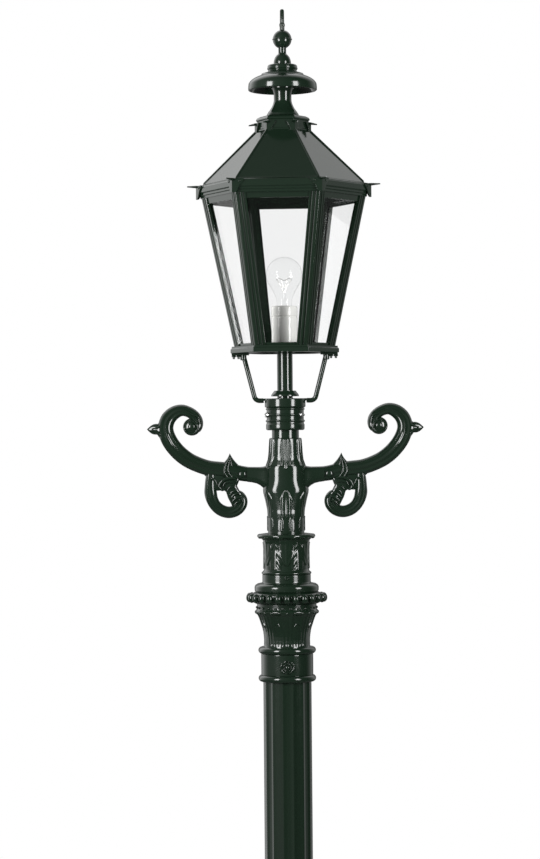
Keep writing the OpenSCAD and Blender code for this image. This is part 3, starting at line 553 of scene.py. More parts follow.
def leaf_socket():
    """Socket with hanging leaves, on a plain band and a stepped foot."""
    foot = low("leaf_socket")
    outline = rise([(51.6, 0), (53.2, 1.5), (53.4, 8), (52.2, 10.8), (48.4, 13.4), (40.8, 15.0),
                    (40.2, 16.5), (40.2, 28.2)] + arc(39, 31, 2.4, -90, 90, 8)
                   + [(37.5, 37), (37.3, 53), (37.3, 70), (38, 80), (39.5, 86), (43.4, 89.2)]
                   + arc(45.2, 92.5, 3.1, -80, 95, 8) + [(40, 96.2), (34, 97)], foot)
    rows = resample(soften(outline, 1.0), 1.0)
    return lathe(rows, BORE, 384, 0, socket_push)


def socket_screws():
    """Three small set screws in the socket's plain band."""
    reach = -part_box("socket_screws")[0].y / MM
    head = lathe([(3.9, -14), (3.9, 0), (3.4, 0.6), (2.0, 0.6), (1.9, -2.4), (0, -2.6)], 0, 32, 0.3)
    return repeated(moved(head, outward(0, reach - 0.6, middle("socket_screws"))), 3, FRONT)


def rim_curls():
    """Curled leaf ends along the socket's rim."""
    curl = ball((45.2, 0, low("leaf_socket") + 91.0), (3.2, 6.4, 2.9), 20, 10)
    return repeated(curl, 12, FRONT + math.pi / 12)


# ---- hub and arms

ARM_Z = middle("arm_bolts")
ARM_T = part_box("ladder_arm_right")[1].y / MM
ARM_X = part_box("ladder_arm_right")[0].x / MM
ARM_STRETCH = (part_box("ladder_arm_right")[1].x / MM - ARM_X) / 196


def hub_push(a, r, z):
    """Ribbed tongues under the neck, a pointed leaf below the arms and drops above the rim."""
    d = z - ARM_Z
    slim = abs(math.sin(a)) ** 3
    push = -0.9 * slim * max(0.0, r - 31.0) if d < 14 else 0.0
    if d > 6:
        v = (58 - d) / 50
        u = around_leaf(a, 6, FRONT) * 1.35
        push += 1.9 * leaf(u, v, 0.5, 0.0) * (0.72 + 0.28 * math.cos(14 * u))
    if d < -22:
        u = around_leaf(a, 6, FRONT) * 1.5
        tall = 1.3 * leaf(u, (d + 72) / 46, 1.5, 0.10) * (0.85 + 0.15 * math.cos(16 * u))
        u = around_leaf(a, 10, FRONT + math.pi / 10) * 1.5
        push += max(tall, 1.5 * leaf(u, (d + 94) / 24, 1, 0.0))
    return push


def post_hub():
    foot = low("post_hub")
    outline = rise([(30.2, 0), (30.4, 8), (30.4, 23), (31.4, 39), (34.4, 54), (37.6, 67), (38.2, 73),
                    (36, 80), (34.6, 88), (34.4, 108), (33, 113), (29.9, 122), (28.0, 136),
                    (27.2, 154), (26.6, 157.5), (24.2, 158)], foot)
    rows = resample(soften(outline, 3.0, 5), 1.2)
    return join([lathe(rows, BORE, 384, 0, hub_push), repeated(arm_saddle(), 2)])


def arm_saddle():
    """Swelling that leads the hub's metal out under and over an arm."""
    rows = [(24, -8, 46, 16), (32, -7, 42, 15.5), (37, -5.5, 36, 14.4), (42, -3.5, 31, 13),
            (48, -1.8, 27.6, 12), (56, -0.8, 25.8, 11.2), (64, -0.2, 25.0, 10.6)]
    squareness = 0.72
    rings = []
    for x, dz, height, depth in rows:
        ring = []
        for c, s in circle(1, 32):
            ring.append((x, depth * math.copysign(abs(c) ** squareness, c),
                         ARM_Z + dz + height / 2 * math.copysign(abs(s) ** squareness, s)))
        rings.append(ring)
    return skin(rings)


STEM = [(0, -0.5, 25.5), (8, -0.5, 25), (18, -1, 24.5), (40, 1, 25), (68, 7, 26), (97, 11, 25.5),
        (122, 20.5, 25.5), (138, 31, 26), (150, 43, 26), (159, 56, 26), (164.5, 70, 25.5),
        (165, 82, 25), (160.5, 94, 24.5), (151, 103, 22.5), (139.5, 107, 19.5),
        (128.5, 104.5, 18), (119.5, 98.5, 18), (114.2, 90, 18.5), (114, 80.5, 18), (119, 73, 16)]
SCROLL = [(92, 4, 14), (93, -8, 17), (93.5, -20, 18.5), (93, -31, 20.5), (90.5, -42, 19.5),
          (84.5, -52.5, 19), (75, -60, 19.5), (63, -63, 19.5), (51.5, -59.5, 19.5),
          (44, -51, 19.5), (42.5, -42, 18), (46.5, -34.5, 15), (53, -33, 12)]
WEB = [(44, 0), (47, -12), (50, -19), (46, -27), (40, -34), (44, -52), (58, -53), (65, -39),
       (68, -29), (75, -24), (83, -27), (92, -20), (96, 2)]


def strand(rows, half_t, furrow=0.20):
    """A cast strand of rounded section along rows [x, z, width], with three long ridges."""
    pts = spline(rows, 6)
    last = len(pts) - 1
    rings = []
    for i, p in enumerate(pts):
        q = pts[min(i + 1, last)] - pts[max(i - 1, 0)]
        t = Vector((q.x, q.y)).normalized()
        across = Vector((-t.y, t.x))
        end = min(1.0, 0.25 + 0.3 * (last - i))
        half = p.z / 2 * end
        depth = half_t * (0.55 + 0.45 * min(1.0, p.z / 24)) * end
        ring = []
        for c, w in circle(1, 56):
            s = math.copysign(abs(c) ** 0.85, c)
            h = math.copysign(abs(w) ** 0.8, w)
            y = depth * h * (1 - furrow * (0.5 - 0.5 * math.cos(2 * math.pi * s / 0.62)))
            ring.append((p.x + across.x * half * s, y, p.y + across.y * half * s))
        rings.append(ring)
    return skin(rings)


def spiral_eye(x, z, r, half_t):
    """Domed eye in a spiral's end, with a raised bead and a curl around it."""
    parts = [ball((x, 0, z), (r, half_t * 0.86, r), 32, 16)]
    for side in (-1, 1):
        y = side * half_t * 0.80
        parts.append(ball((x, y, z), (r * 0.42, 3.0, r * 0.42), 20, 10))
        curl = [(x + r * k * math.cos(b), y * (1.04 - 0.30 * k), z + r * k * math.sin(b))
                for b, k in ((2 * math.pi * i / 18 + 0.6, 0.58 + 0.018 * i) for i in range(17))]
        parts.append(rod(curl, [0.8 + 1.1 * math.sin(math.pi * i / 16) for i in range(17)], 12))
    return join(parts)


def thorn(base0, base1, tip, half_t, bow=0.10):
    """A pointed leaf between two points of its foot and its tip, with a bowed outline."""
    base0, base1, tip = Vector(base0), Vector(base1), Vector(tip)
    rings = []
    for k in range(11):
        t = k / 10
        a, b = base0.lerp(tip, t), base1.lerp(tip, t)
        side = math.sin(math.pi * t) * bow
        a, b = a + (base0 - base1) * side, b + (base1 - base0) * side
        c = (a + b) / 2
        d = half_t * (1 - t) ** 0.7 + 0.6
        rings.append([(c.x + (a - b).x / 2 * x, d * y, c.y + (a - b).y / 2 * x)
                      for x, y in circle(1, 20)])
    return skin(rings)


def web_plate(half_t):
    """Leaf mass that fills the inside of the lower scroll, domed towards its middle."""
    centre = Vector((66, -26))
    levels = [(1.0, 0.0), (0.985, 0.30), (0.94, 0.48), (0.86, 0.60), (0.70, 0.68), (0.35, 0.72)]
    rows = [(k, -h) for k, h in reversed(levels)] + levels[1:]
    return skin([[(centre.x + (x - centre.x) * k, h * half_t, centre.y + (z - centre.y) * k)
                  for x, z in WEB] for k, h in rows])


def leaf_curl(points, radii, depth):
    """A small cast leaf stroke lying on both faces of an arm."""
    parts = []
    curve = spline([(x, z, 0) for x, z in points], 5)
    n = len(curve)
    rad = [radii * (0.35 + 0.65 * math.sin(math.pi * (0.12 + 0.88 * i / (n - 1)) ** 0.8))
           for i in range(n)]
    for side in (-1, 1):
        parts.append(rod([(p.x, side * depth, p.y) for p in curve], rad, 12))
    return join(parts)


def arm():
    """The right-hand arm, in mm from its root."""
    half_t = ARM_T
    parts = [strand(STEM, half_t), strand(SCROLL, half_t * 0.92), web_plate(half_t)]
    parts.append(spiral_eye(122.8, 79.3, 14.5, half_t))
    parts.append(ball((50, 0, -38), (10.5, half_t * 0.80, 9.5), 32, 16))
    parts.append(thorn((46, 14), (74, 17), (61.5, 35), 7, -0.06))
    parts.append(thorn((168, 98), (170, 53), (187.5, 76), 8, -0.03))
    parts.append(thorn((179, 85), (180, 67), (196, 75.9), 6, 0.16))
    parts.append(thorn((89, -12), (88, 6), (105.6, 1.4), 6, 0.04))
    for points, radius, depth in ARM_LEAVES:
        parts.append(leaf_curl(points, radius, half_t * depth))
    return join(parts)


ARM_LEAVES = [
    ([(50, 4), (56, 9), (59, 18), (61.2, 29)], 1.6, 0.66),
    ([(65, -5), (70, 2), (69, 13), (63, 26)], 2.0, 0.82),
    ([(58, -5), (63, 2), (64, 12), (61.5, 24)], 1.6, 0.90),
    ([(52, -7), (63, -6), (74, -11), (79, -20), (74, -26), (68, -23)], 2.8, 0.80),
    ([(54, -13), (64, -12), (71, -16), (72, -22)], 2.2, 0.86),
    ([(92, -6), (86, -10), (82, -18)], 2.2, 0.72),
    ([(56, -20), (62, -22), (66, -28)], 2.0, 0.76),
    ([(50, -26), (57, -28), (62, -34)], 2.2, 0.78),
    ([(47, -31), (54, -33), (60, -39)], 2.2, 0.82),
    ([(44, -37), (51, -39), (58, -45)], 2.2, 0.84),
    ([(44, -44), (50, -46), (55, -51)], 2.0, 0.84),
    ([(110, 84), (113, 96), (124, 100)], 1.8, 0.84),
    ([(112, 74), (116, 84), (126, 92)], 1.8, 0.84),
    ([(170, 84), (178, 79), (188, 76.4)], 1.8, 0.60),
    ([(172, 64), (179, 71), (188, 75.4)], 1.8, 0.60),
]


def place_arm(side):
    """Moves an arm from its own root to the hub; side -1 is the left-hand one."""
    verts, faces = arm()
    out = [(side * (x * ARM_STRETCH + ARM_X), y, z + ARM_Z) for x, y, z in verts]
    return out, faces


def arm_bolts():
    """A hexagon head on each face of each arm's root."""
    parts = []
    for side in (-1, 1):
        head = moved(screw_head(5.4, 4.2, 6, 3, 6), Matrix.Rotation(-side * math.pi / 2, 4, "X"))
        for x in (-72, 72):
            parts.append(moved(head, Matrix.Translation((x, side * ARM_T * 0.92, ARM_Z))))
    return join(parts)


# ---- collar and yoke

def lantern_collar():
    foot = low("lantern_collar")
    outline = rise([(29.5, 0), (31.6, 1.2), (32, 3), (32, 9.6), (31, 10.9), (31, 13)]
                   + arc(30.8, 15.3, 1.9, -90, 90, 8) + arc(30.8, 25.3, 1.9, -90, 90, 8)
                   + [(30.9, 29.6), (30.9, 33)] + arc(30.8, 35.0, 1.6, -90, 90, 8)
                   + [(31.2, 37.4), (33.4, 38.4), (33.8, 39.4), (33.8, 50.8), (33, 52.3)], foot)
    return lathe(outline, 12.95, 160, 0.5)


def core_tube():
    """Steel tube through the castings, painted where it shows below the collar."""
    return lathe([(22.4, low("core_tube")), (22.4, high("core_tube"))], 18, 96, 0)


def collar_screws():
    head = lathe([(4, -12), (4, 0.6), (3.4, 1.4), (2.1, 1.4), (2.0, -2.2), (0, -2.4)], 0, 32, 0.3)
    placed = moved(head, outward(0, 34.9, middle("collar_screws")))
    return repeated(placed, 3, TURN + math.radians(329))


def lantern_yoke():
    """Two bent round legs on a flat eye, with a boss and a foot under the base ring."""
    lean, bend_r, corner = math.radians(14.7), 9, 49.5
    foot, top = low("lantern_yoke"), high("lantern_yoke")
    bend_z = foot + 0.5
    centre_x = corner - bend_r * math.tan((math.pi / 2 - lean) / 2)
    top_x = corner + (top - bend_z) * math.tan(lean)
    bend = [(x, 0, z) for x, z in arc(centre_x, bend_z + bend_r, bend_r, -90, -14.7, 12)]
    path = [(36.2, 0, bend_z + 0.4), (38, 0, bend_z)] + bend + [(top_x - 1, 0, top - 2)]
    boss = lathe([(4.6, 0), (5.2, 1.0), (5.2, 8.2), (4.8, 9)], 0, 40, 0.5)
    leg = [rod(path, 4.0, 32), slab(12, 39, foot + 0.1, foot + 4, -7, 7, 0.6),
           moved(boss, Matrix.Translation((top_x - 1.2, 0, top - 11.5))),
           slab(60, 88, top - 3.2, top, -8, 8, 0.5)]
    eye = lathe([(23, foot + 0.05), (23, foot + 4)], 13, 96, 0.6)
    return turned_by(join([eye, repeated(join(leg), 2)]), TURN)


def yoke_foot_screws():
    """Two studs with nuts in each foot of the yoke."""
    foot = low("yoke_foot_screws")
    nut = moved(screw_head(3.7, 3.2), Matrix.Translation((0, 0, foot + 3.2)))
    stud = lathe([(1.6, foot), (2.0, foot + 0.6), (2.0, foot + 7)], 0, 24, 0.2)
    pair = [moved(join([nut, stud]), Matrix.Translation((x, 0, 0))) for x in (77, 85)]
    return repeated(join(pair), 2, TURN)


def yoke_nut():
    foot = low("yoke_nut")
    return lathe(rise([(23.2, 0), (22.8, 2.6), (20.6, 5.6), (18.6, 8.0), (18.3, 9.2)], foot),
                 13, 96, 1.2)


def conduit_tube():
    foot, top = low("conduit_tube"), high("conduit_tube")
    return lathe([(12.9, foot), (12.9, top)], 10, 96, 0.4)


# ---- lantern body

RING_Z = low("lantern_base_ring")
BODY_Z = high("lantern_base_ring")
CORNICE_Z = low("lantern_cornice")
ROOF_Z = high("lantern_cornice")
FOOT_R = 84.7
HEAD_R = 137.1
CORNICE_R = 143.6


def body_radius(z):
    """Corner radius of the lantern's tapering body."""
    return FOOT_R + (HEAD_R - FOOT_R) * (z - BODY_Z) / (CORNICE_Z - BODY_Z)


def base_ring():
    outline = [(90.0, RING_Z), (90.6, RING_Z + 0.8), (90.6, RING_Z + 6.8), (88.6, RING_Z + 8.2),
               (88.6, BODY_Z)]
    return turned_by(hex_lathe(outline, 0.5, 1.0, 66), TURN)


def corner_posts():
    """Six sloping posts with reeded wings; half a section is [along the side, depth behind it]."""
    half = [(17, 6), (17, 1.0), (16.4, 0.3), (14.4, 0.3), (13.7, 1.7), (12.1, 1.7), (11.4, 0),
            (8.4, 0), (7.7, 1.8), (5.9, 1.8), (5.2, 0), (1.0, 0)]
    side = Vector((-0.5, math.sin(math.radians(60))))
    inward = Vector((-COS30, -0.5))
    flip = lambda p: Vector((p.x, -p.y))
    left = [side * s + inward * d for s, d in half]
    inner = [side * 17 + inward * 6, side * 9 + inward * 6, Vector((-6 / COS30, 0)),
             flip(side * 9 + inward * 6)]
    section = left + [flip(p) for p in reversed(left)] + inner[-1:] + inner[2:3] + inner[1:2]
    rings = [[(body_radius(z) + p.x, p.y, z) for p in section]
             for z in (BODY_Z - 0.5, CORNICE_Z + 1)]
    return repeated(skin(rings), 6, TURN)


def top_rails():
    """Thin rails between the posts, under the cornice and over the base ring."""
    parts = []
    for z0, z1 in ((BODY_Z - 0.3, BODY_Z + 4.5), (CORNICE_Z - 9, CORNICE_Z + 0.5)):
        r0, r1 = body_radius(z0) - 3.2, body_radius(z1) - 3.2
        rings = [hexagon(r0, z0, 0.5), hexagon(r1, z1, 0.5),
                 hexagon(r1 - 4.4, z1, 0.5), hexagon(r0 - 4.4, z0, 0.5)]
        parts.append(skin(rings, loop=True))
    return turned_by(join(parts), TURN)


def cornice():
    """Moulding mitred at its six corners: two steps, a plain fascia and a thin top line."""
    outline = rise([(138.4, 0), (139, 0.8), (139, 3.6), (139.8, 4.6), (141, 5.2), (141, 7.8),
                    (141.8, 8.8), (142.9, 9.4), (CORNICE_R, 10.2), (CORNICE_R, 18.6), (142.9, 19.2),
                    (142.9, 20.6), (142, 21.2), (139.6, 22.3)], CORNICE_Z)
    return turned_by(hex_lathe(outline, 0.4, 1.2, 118), TURN)


def ears(r, tip_r, z_low, z_high, wing, thick=2.3, drop=0.0):
    """Shields folded round the corners of radius r, with thin flat tips pointing out."""
    height = z_high - z_low
    shape = [(0.0, 0.0), (0.22, 0.03), (0.40, 0.16), (0.52, 0.38), (0.68, 0.60), (0.90, 0.76),
             (1.0, 0.90), (1.0, 1.0)]
    parts = []
    side = Vector((-0.5, math.sin(math.radians(60))))
    out = Vector((COS30, 0.5))
    for flip in (1, -1):
        rings = []
        for s, t in shape:
            a = side * (wing * s)
            b = a + out * thick
            if s == 0:
                b = Vector((thick / COS30, 0))
            z = z_low + height * t
            rings.append([(r + p.x, flip * p.y, zz) for p, zz in
                          ((a, z), (b * 0.94 + a * 0.06, z), (b, z + 0.7), (b, z_high - 0.6),
                           (b * 0.94 + a * 0.06, z_high), (a, z_high))])
        parts.append(skin(rings))
    tip = []
    for x, w in ((r - 1, 4.5), (r + thick + 1, 6.4), (r + 6, 4.2), (r + 10, 2.2), (tip_r, 0.5)):
        k = (x - r) / (tip_r - r)
        h = 2.4 - 1.3 * k
        zc = z_high - 1.9 + 0.9 * k - drop * max(0.0, k)
        tip.append([(x, w, zc), (x, w * 0.55, zc + h), (x, -w * 0.55, zc + h), (x, -w, zc),
                    (x, -w * 0.55, zc - h * 0.7), (x, w * 0.55, zc - h * 0.7)])
    parts.append(skin(tip))
    return repeated(join(parts), 6, TURN)


def ear_screws():
    """Two small screws in each ear."""
    head = lathe([(2.4, 0), (2.4, 0.5), (1.7, 1.3), (0, 1.5)], 0, 24, 0.3)
    wing = 11
    parts = []
    for flip in (-1, 1):
        spot = (CORNICE_R - wing * 0.5, flip * wing * COS30, middle("ear_screws"))
        place = Matrix.Translation(spot) @ outward(math.radians(30 * flip), 2.2, 0)
        parts.append(moved(head, place))
    return repeated(join(parts), 6, TURN)


# ---- lamp

def lamp_holder():
    foot, top = low("lamp_holder"), high("lamp_holder")
    return lathe([(20, foot), (21.6, foot + 2), (21.6, top - 1), (20.6, top)], 15.2, 96, 1.0)


def holder_ring():
    foot, top = low("holder_ring"), high("holder_ring")
    return lathe([(20.6, foot), (21.6, foot + 1), (21.6, top - 2.6), (20.4, top), (17, top)],
                 14, 96, 1.0)


def bulb_glass():
    """Blown envelope, as one closed skin."""
    mid = high("bulb_glass") - 30
    outer = [(12.5, mid - 64.5), (12.5, mid - 46.5), (13.2, mid - 41), (14.8, mid - 35),
             (17.6, mid - 29), (21.2, mid - 23.2)] + arc(0, mid, 30, -41, 90, 30)
    return lathe(soften(outer, 4), 0, 128, 0)


def bulb_stem():
    """Glass flare and button that carry the filament."""
    return lathe(rise([(11.2, 0), (8, 5), (4.2, 12), (2.6, 18), (2.3, 34), (3.4, 37), (3.4, 41),
                       (1.8, 43.5), (0, 44)], low("bulb_stem")), 0, 32, 0.6)


def filament():
    """Two lead wires, two supports and the coiled filament between them."""
    foot = low("bulb_stem")
    parts = []
    for side in (-1, 1):
        parts.append(rod([(side * x, 0, foot + z) for x, z in ((1.2, 34), (4, 44), (12.5, 56))],
                         0.35, 8))
        parts.append(rod([(side * 0.9, 0, foot + 41), (side * 4.4, 0, foot + 55)], 0.22, 8))
    coil = []
    for i in range(241):
        t = i / 240
        a = 2 * math.pi * 30 * t
        sag = 1.4 * math.sin(math.pi * t * 3)
        coil.append((-12.5 + 25 * t, 0.55 * math.cos(a), foot + 56 + sag + 0.55 * math.sin(a)))
    parts.append(rod(coil, 0.16, 6))
    return turned_by(join(parts), TURN)


# ---- roof

CROWN_Z = low("roof_crown")


def roof_hood():
    """Hipped roof with a thin eave, and an inner lip."""
    foot_r, head_r = 135.0, 42.8
    outline = [(109, ROOF_Z - 8), (112, ROOF_Z - 8), (112, ROOF_Z), (134.2, ROOF_Z),
               (135.2, ROOF_Z + 0.5), (135, ROOF_Z + 1.3), (133.8, ROOF_Z + 2.0),
               (head_r + 0.6, CROWN_Z - 0.6), (head_r, CROWN_Z), (30, CROWN_Z), (30, CROWN_Z - 5),
               (40, CROWN_Z - 5.5), (124, ROOF_Z + 6), (109, ROOF_Z + 4)]
    rings = [hexagon(r, z, min(1.5, 0.4 * r)) for r, z in outline]
    parts = [skin(rings, loop=True)]
    slope = Vector((head_r - foot_r, 0, CROWN_Z - ROOF_Z))
    start = Vector((foot_r - 1.6, 0, ROOF_Z + 1.6))
    path = [start + slope * t for t in (0, 0.02, 0.25, 0.5, 0.75, 0.98)]
    parts.append(repeated(rod(path, [1.6] + [2.1] * 5, 20), 6))
    return turned_by(join(parts), TURN)


def roof_crown():
    """Upright six-sided band with a thin line at foot and head, and a domed top."""
    top = high("roof_crown")
    outline = [(43.4, CROWN_Z - 2.4), (44.6, CROWN_Z - 1.8), (44.6, CROWN_Z + 0.4),
               (43.2, CROWN_Z + 1.2), (43.2, CROWN_Z + 14.6), (44.4, CROWN_Z + 15.4),
               (45.2, CROWN_Z + 16.4), (44.8, CROWN_Z + 18.2), (43, CROWN_Z + 20.4),
               (38, CROWN_Z + 22.6), (31, top - 0.2), (28, top)]
    return turned_by(hex_lathe(outline, 0.5, 1.4, 12.5), TURN)


def chimney():
    foot, top = low("chimney"), high("chimney")
    outline = rise([(26.6, 0), (26.2, 2.4), (23.9, 6.2), (21.2, 9.6), (18.8, 13.4), (17.0, 17),
                    (15.6, 20.8), (14.8, 24.4), (14.6, 28), (14.6, 35.2), (15.6, 40.3)], foot)
    return lathe(resample(outline + [(17.6, top)], 3), 11, 128, 0)


def chimney_cap():
    """Spun cap: hollow under its rolled rim, a low dome, a ledge and a rounded step."""
    seat = low("chimney_cap") + 3.5
    outline = rise([(19, 0), (20, 4.5), (24, 9), (38, 9.6), (46, 6.6), (50.5, 2), (53.2, -2.2)]
                   + arc(55.2, -1.6, 1.9, -160, 0, 8) + [(57.1, 1.2), (56.9, 4.2)]
                   + oval(0, 5.0, 56.9, 21.6, 6, 50, 18)
                   + [(35.4, 22.6), (34.4, 24.6), (31, 25.6), (27, 26.6), (24.4, 28.0), (23.4, 29.4)]
                   + arc(22.4, 33.2, 2.9, -60, 40, 8) + arc(21.2, 36.0, 3.4, 10, 90, 8)
                   + [(15, 40.6)], seat)
    return lathe(outline, 3.2, 160, 0.4)


def finial_base():
    foot = low("finial_base")
    outline = rise([(14.2, 0)] + oval(0, 1.4, 14.4, 17.5, 0, 60, 14)
                   + [(6.7, 17.6), (6.5, 18.8), (6.5, 27.2)], foot)
    return lathe(outline, 3.2, 96, 0.4)


def finial_ball():
    foot = low("finial_ball")
    mid, radius = 13.5, 15.6
    outline = rise(arc(0, mid, radius, -60, -4, 14)
                   + [(16.4, mid - 0.6), (16.7, mid), (16.4, mid + 0.6)]
                   + arc(0, mid, radius, 4, 75, 14) + [(4, 30), (4, 34.6)], foot)
    return lathe(outline, 1.6, 96, 0.3)


def finial_spike():
    top = high("finial_spike")
    foot = low("finial_spike") + 5
    return lathe([(4.2, foot), (4.6, foot + 0.6), (4.6, foot + 4.4), (3.6, foot + 6),
                  (3.5, top - 3.0), (2.8, top - 0.9), (1.4, top - 0.1), (0, top)], 0, 48, 0.4)


# ---- foot and pedestal

DRUM, DRUM_IN = 95.0, 87.0
DRUM_FOOT, DRUM_TOP = 66.0, 380.0
DOOR_W, DOOR_FOOT, DOOR_TOP = 64.0, 110.0, 340.0


def plate_with_holes(radius, z0, z1, holes, ease=1.5):
    """A round plate with round holes (x, y, r) and an eased upper rim."""
    loops = [circle(radius - ease, 128)]
    loops += [circle(r, 64 if r > 20 else 28, x, y) for x, y, r in holes]
    verts, faces = [], []
    for z in (z0, z1):
        bm = bmesh.new()
        edges = []
        for loop in loops:
            ring = [bm.verts.new((x, y, z)) for x, y in loop]
            edges += [bm.edges.new((ring[i - 1], ring[i])) for i in range(len(ring))]
        bmesh.ops.triangle_fill(bm, use_beauty=True, use_dissolve=False, edges=edges)
        bm.verts.index_update()
        base = len(verts)
        verts += [tuple(v.co) for v in bm.verts]
        faces += [tuple(v.index + base for v in f.verts) for f in bm.faces]
        bm.free()
    parts = [(verts, faces)]
    for loop in loops[1:]:
        parts.append(skin([[(x, y, z) for x, y in loop] for z in (z0, z1)], caps=False))
    rim = [(radius - ease, z0), (radius, z0 + ease), (radius, z1 - ease), (radius - ease, z1)]
    parts.append(skin([[(x, y, z) for x, y in circle(r, 128)] for r, z in rim], caps=False))
    return join(parts)


def base_flange():
    """Foot plate with a cable opening, four anchor holes and four bolt holes."""
    diagonal = math.sqrt(0.5)
    holes = [(0, 0, 50)]
    for reach, r in ((135 * diagonal, 7), (73 * diagonal, 4)):
        holes += [(x, y, r) for x in (-reach, reach) for y in (-reach, reach)]
    return plate_with_holes(160, low("base_flange"), high("base_flange"), holes)


def wall(x0, x1, z0, z1, inner, outer):
    """A slab of the drum's front wall, between two depths in front of the axis."""
    return slab(x0, x1, z0, z1, -outer, -inner)


def drum():
    """Eight-sided hollow drum, open at the door."""
    half, face = DRUM * math.tan(math.radians(22.5)), DRUM + 1.6
    x, z0, z1 = half - 7, DRUM_FOOT + 18, DRUM_TOP - 18
    side = join([wall(-half, half, DRUM_FOOT - 1, DRUM_TOP + 1, DRUM_IN, DRUM),
                 wall(-x, x, z0 - 2, z0 + 2, DRUM - 1, face),
                 wall(-x, x, z1 - 2, z1 + 2, DRUM - 1, face),
                 wall(-x, -x + 4, z0, z1, DRUM - 1, face), wall(x - 4, x, z0, z1, DRUM - 1, face)])
    parts = [turned_by(side, a) for a in turns(8)[1:]]
    edge = DOOR_W / 2
    parts += [wall(-half, half, DRUM_FOOT - 1, DOOR_FOOT, DRUM_IN, DRUM),
              wall(-half, half, DOOR_TOP, DRUM_TOP + 1, DRUM_IN, DRUM),
              wall(-half, -edge, DOOR_FOOT - 1, DOOR_TOP + 1, DRUM_IN, DRUM),
              wall(edge, half, DOOR_FOOT - 1, DOOR_TOP + 1, DRUM_IN, DRUM)]
    return join(parts)


def knuckle(x, y, z0, z1):
    """One round knuckle of a door hinge."""
    return moved(lathe([(4.6, z0), (5, z0 + 0.5), (5, z1 - 0.5), (4.6, z1)], 2.5, 40, 0),
                 Matrix.Translation((x, y, 0)))


HINGE_X, HINGE_Y = -37.0, -101.0
HINGE_HEIGHTS = (150.0, 300.0)


def pedestal():
    """Round plinth with an inner foot ring, the drum, mouldings, a hollow neck and a spigot."""
    lower = lathe([(119, 16), (120, 17)] + [(120, 52)] + arc(112, 52, 8, 0, 90, 8)
                  + [(104, 60.6), (99, 63), (97, 66)], 60, 160, 0.6)
    upper = lathe([(96, 378.5)] + arc(103, 386, 7, -90, 90, 12) + [(93, 393.4), (93, 396)]
                  + oval(93, 560, 41, 164, 270, 180, 24) + [(52.4, 561), (55, 562)]
                  + arc(52, 570.5, 9.5, -62, 80, 12) + [(50, 580), (34, 580)], 26, 160, 0)
    parts = [lower, upper, drum()]
    for z in HINGE_HEIGHTS:
        for side in (-1, 1):
            mid = z + side * 12.5
            parts.append(knuckle(HINGE_X, HINGE_Y, mid - 6, mid + 6))
            parts.append(wall(HINGE_X - 5, HINGE_X + 3, mid - 6, mid + 6, 94, 101))
    return join(parts)


def access_door():
    """Door leaf with a raised field, and the middle knuckles with their straps."""
    x0, x1 = 1 - DOOR_W / 2, DOOR_W / 2 - 1
    parts = [wall(x0, x1, DOOR_FOOT + 1, DOOR_TOP - 1, 90, 96),
             wall(x0 + 9, x1 - 9, DOOR_FOOT + 12, DOOR_TOP - 12, 95.4, 97.5)]
    for z in HINGE_HEIGHTS:
        parts.append(knuckle(HINGE_X, HINGE_Y, z - 6, z + 6))
        parts.append(wall(HINGE_X + 4.4, HINGE_X + 26, z - 6, z + 6, 95.8, 99))
        parts.append(wall(HINGE_X + 3, HINGE_X + 6, z - 6, z + 6, 96, 101))
    return join(parts)


def foot_ring():
    foot = low("shaft_foot_ring")
    return lathe(rise(arc(48, 9, 9, -90, 90, 12) + arc(50, 25, 7, 270, 180, 8)
                      + arc(43, 37, 5, -90, 90, 10) + [(43, 50)], foot), 40.05, 160, 0.4)


# ---- build

fit("base_flange_cast", base_flange(), "base_flange")
fit("pedestal_cast", pedestal(), "pedestal", flat=True)
fit("access_door_cast", access_door(), "access_door", flat=True)
fit("shaft_foot_ring_cast", foot_ring(), "shaft_foot_ring")
fit("shaft_fluted", fluted_shaft(), "shaft")
fit("neck_band_cast", neck_band(), "neck_band")
fit("band_rosettes_cast", band_rosettes(), "band_rosettes")
fit("capital_bell", join([capital(), capital_drops()]), "capital")
fit("bead_ring_cast", bead_ring(), "bead_ring")
fit("leaf_socket_cast", join([leaf_socket(), rim_curls()]), "leaf_socket")
fit("socket_screw_heads", socket_screws(), "socket_screws", slot="green_paint")
fit("post_hub_cast", post_hub(), "post_hub")
fit("core_tube_drawn", core_tube(), "core_tube", slot="green_paint")
fit("ladder_arm_left_cast", place_arm(-1), "ladder_arm_left")
fit("ladder_arm_right_cast", place_arm(1), "ladder_arm_right")
fit("arm_bolt_heads", arm_bolts(), "arm_bolts", slot="green_paint")
fit("lantern_collar_turned", lantern_collar(), "lantern_collar")
fit("collar_screw_heads", collar_screws(), "collar_screws")
fit("lantern_yoke_bent", lantern_yoke(), "lantern_yoke")
fit("yoke_foot_nuts", yoke_foot_screws(), "yoke_foot_screws")
fit("yoke_nut_turned", yoke_nut(), "yoke_nut")
fit("conduit_tube_drawn", conduit_tube(), "conduit_tube")
fit("base_ring_cast", base_ring(), "lantern_base_ring", flat=True)
fit("corner_posts_reeded", join([corner_posts(), top_rails()]), "corner_posts", flat=True)
fit("cornice_moulded", cornice(), "lantern_cornice", flat=True)
fit("cornice_ears_cast", ears(CORNICE_R, 161, CORNICE_Z - 1, CORNICE_Z + 21.6, 18), "cornice_ears",
    flat=True)
fit("ear_screw_heads", ear_screws(), "ear_screws", slot="green_paint")
fit("lamp_holder_glazed", lamp_holder(), "lamp_holder")
fit("holder_ring_glazed", holder_ring(), "holder_ring")
fit("bulb_envelope", bulb_glass(), "bulb_glass")
fit("bulb_flare", bulb_stem(), "bulb_stem", slot="bulb_glass")
fit("bulb_filament", filament(), "bulb_stem", slot="nickel")
fit("roof_hipped", roof_hood(), "roof_hood", flat=True)
fit("roof_crown_cast", roof_crown(), "roof_crown", flat=True)
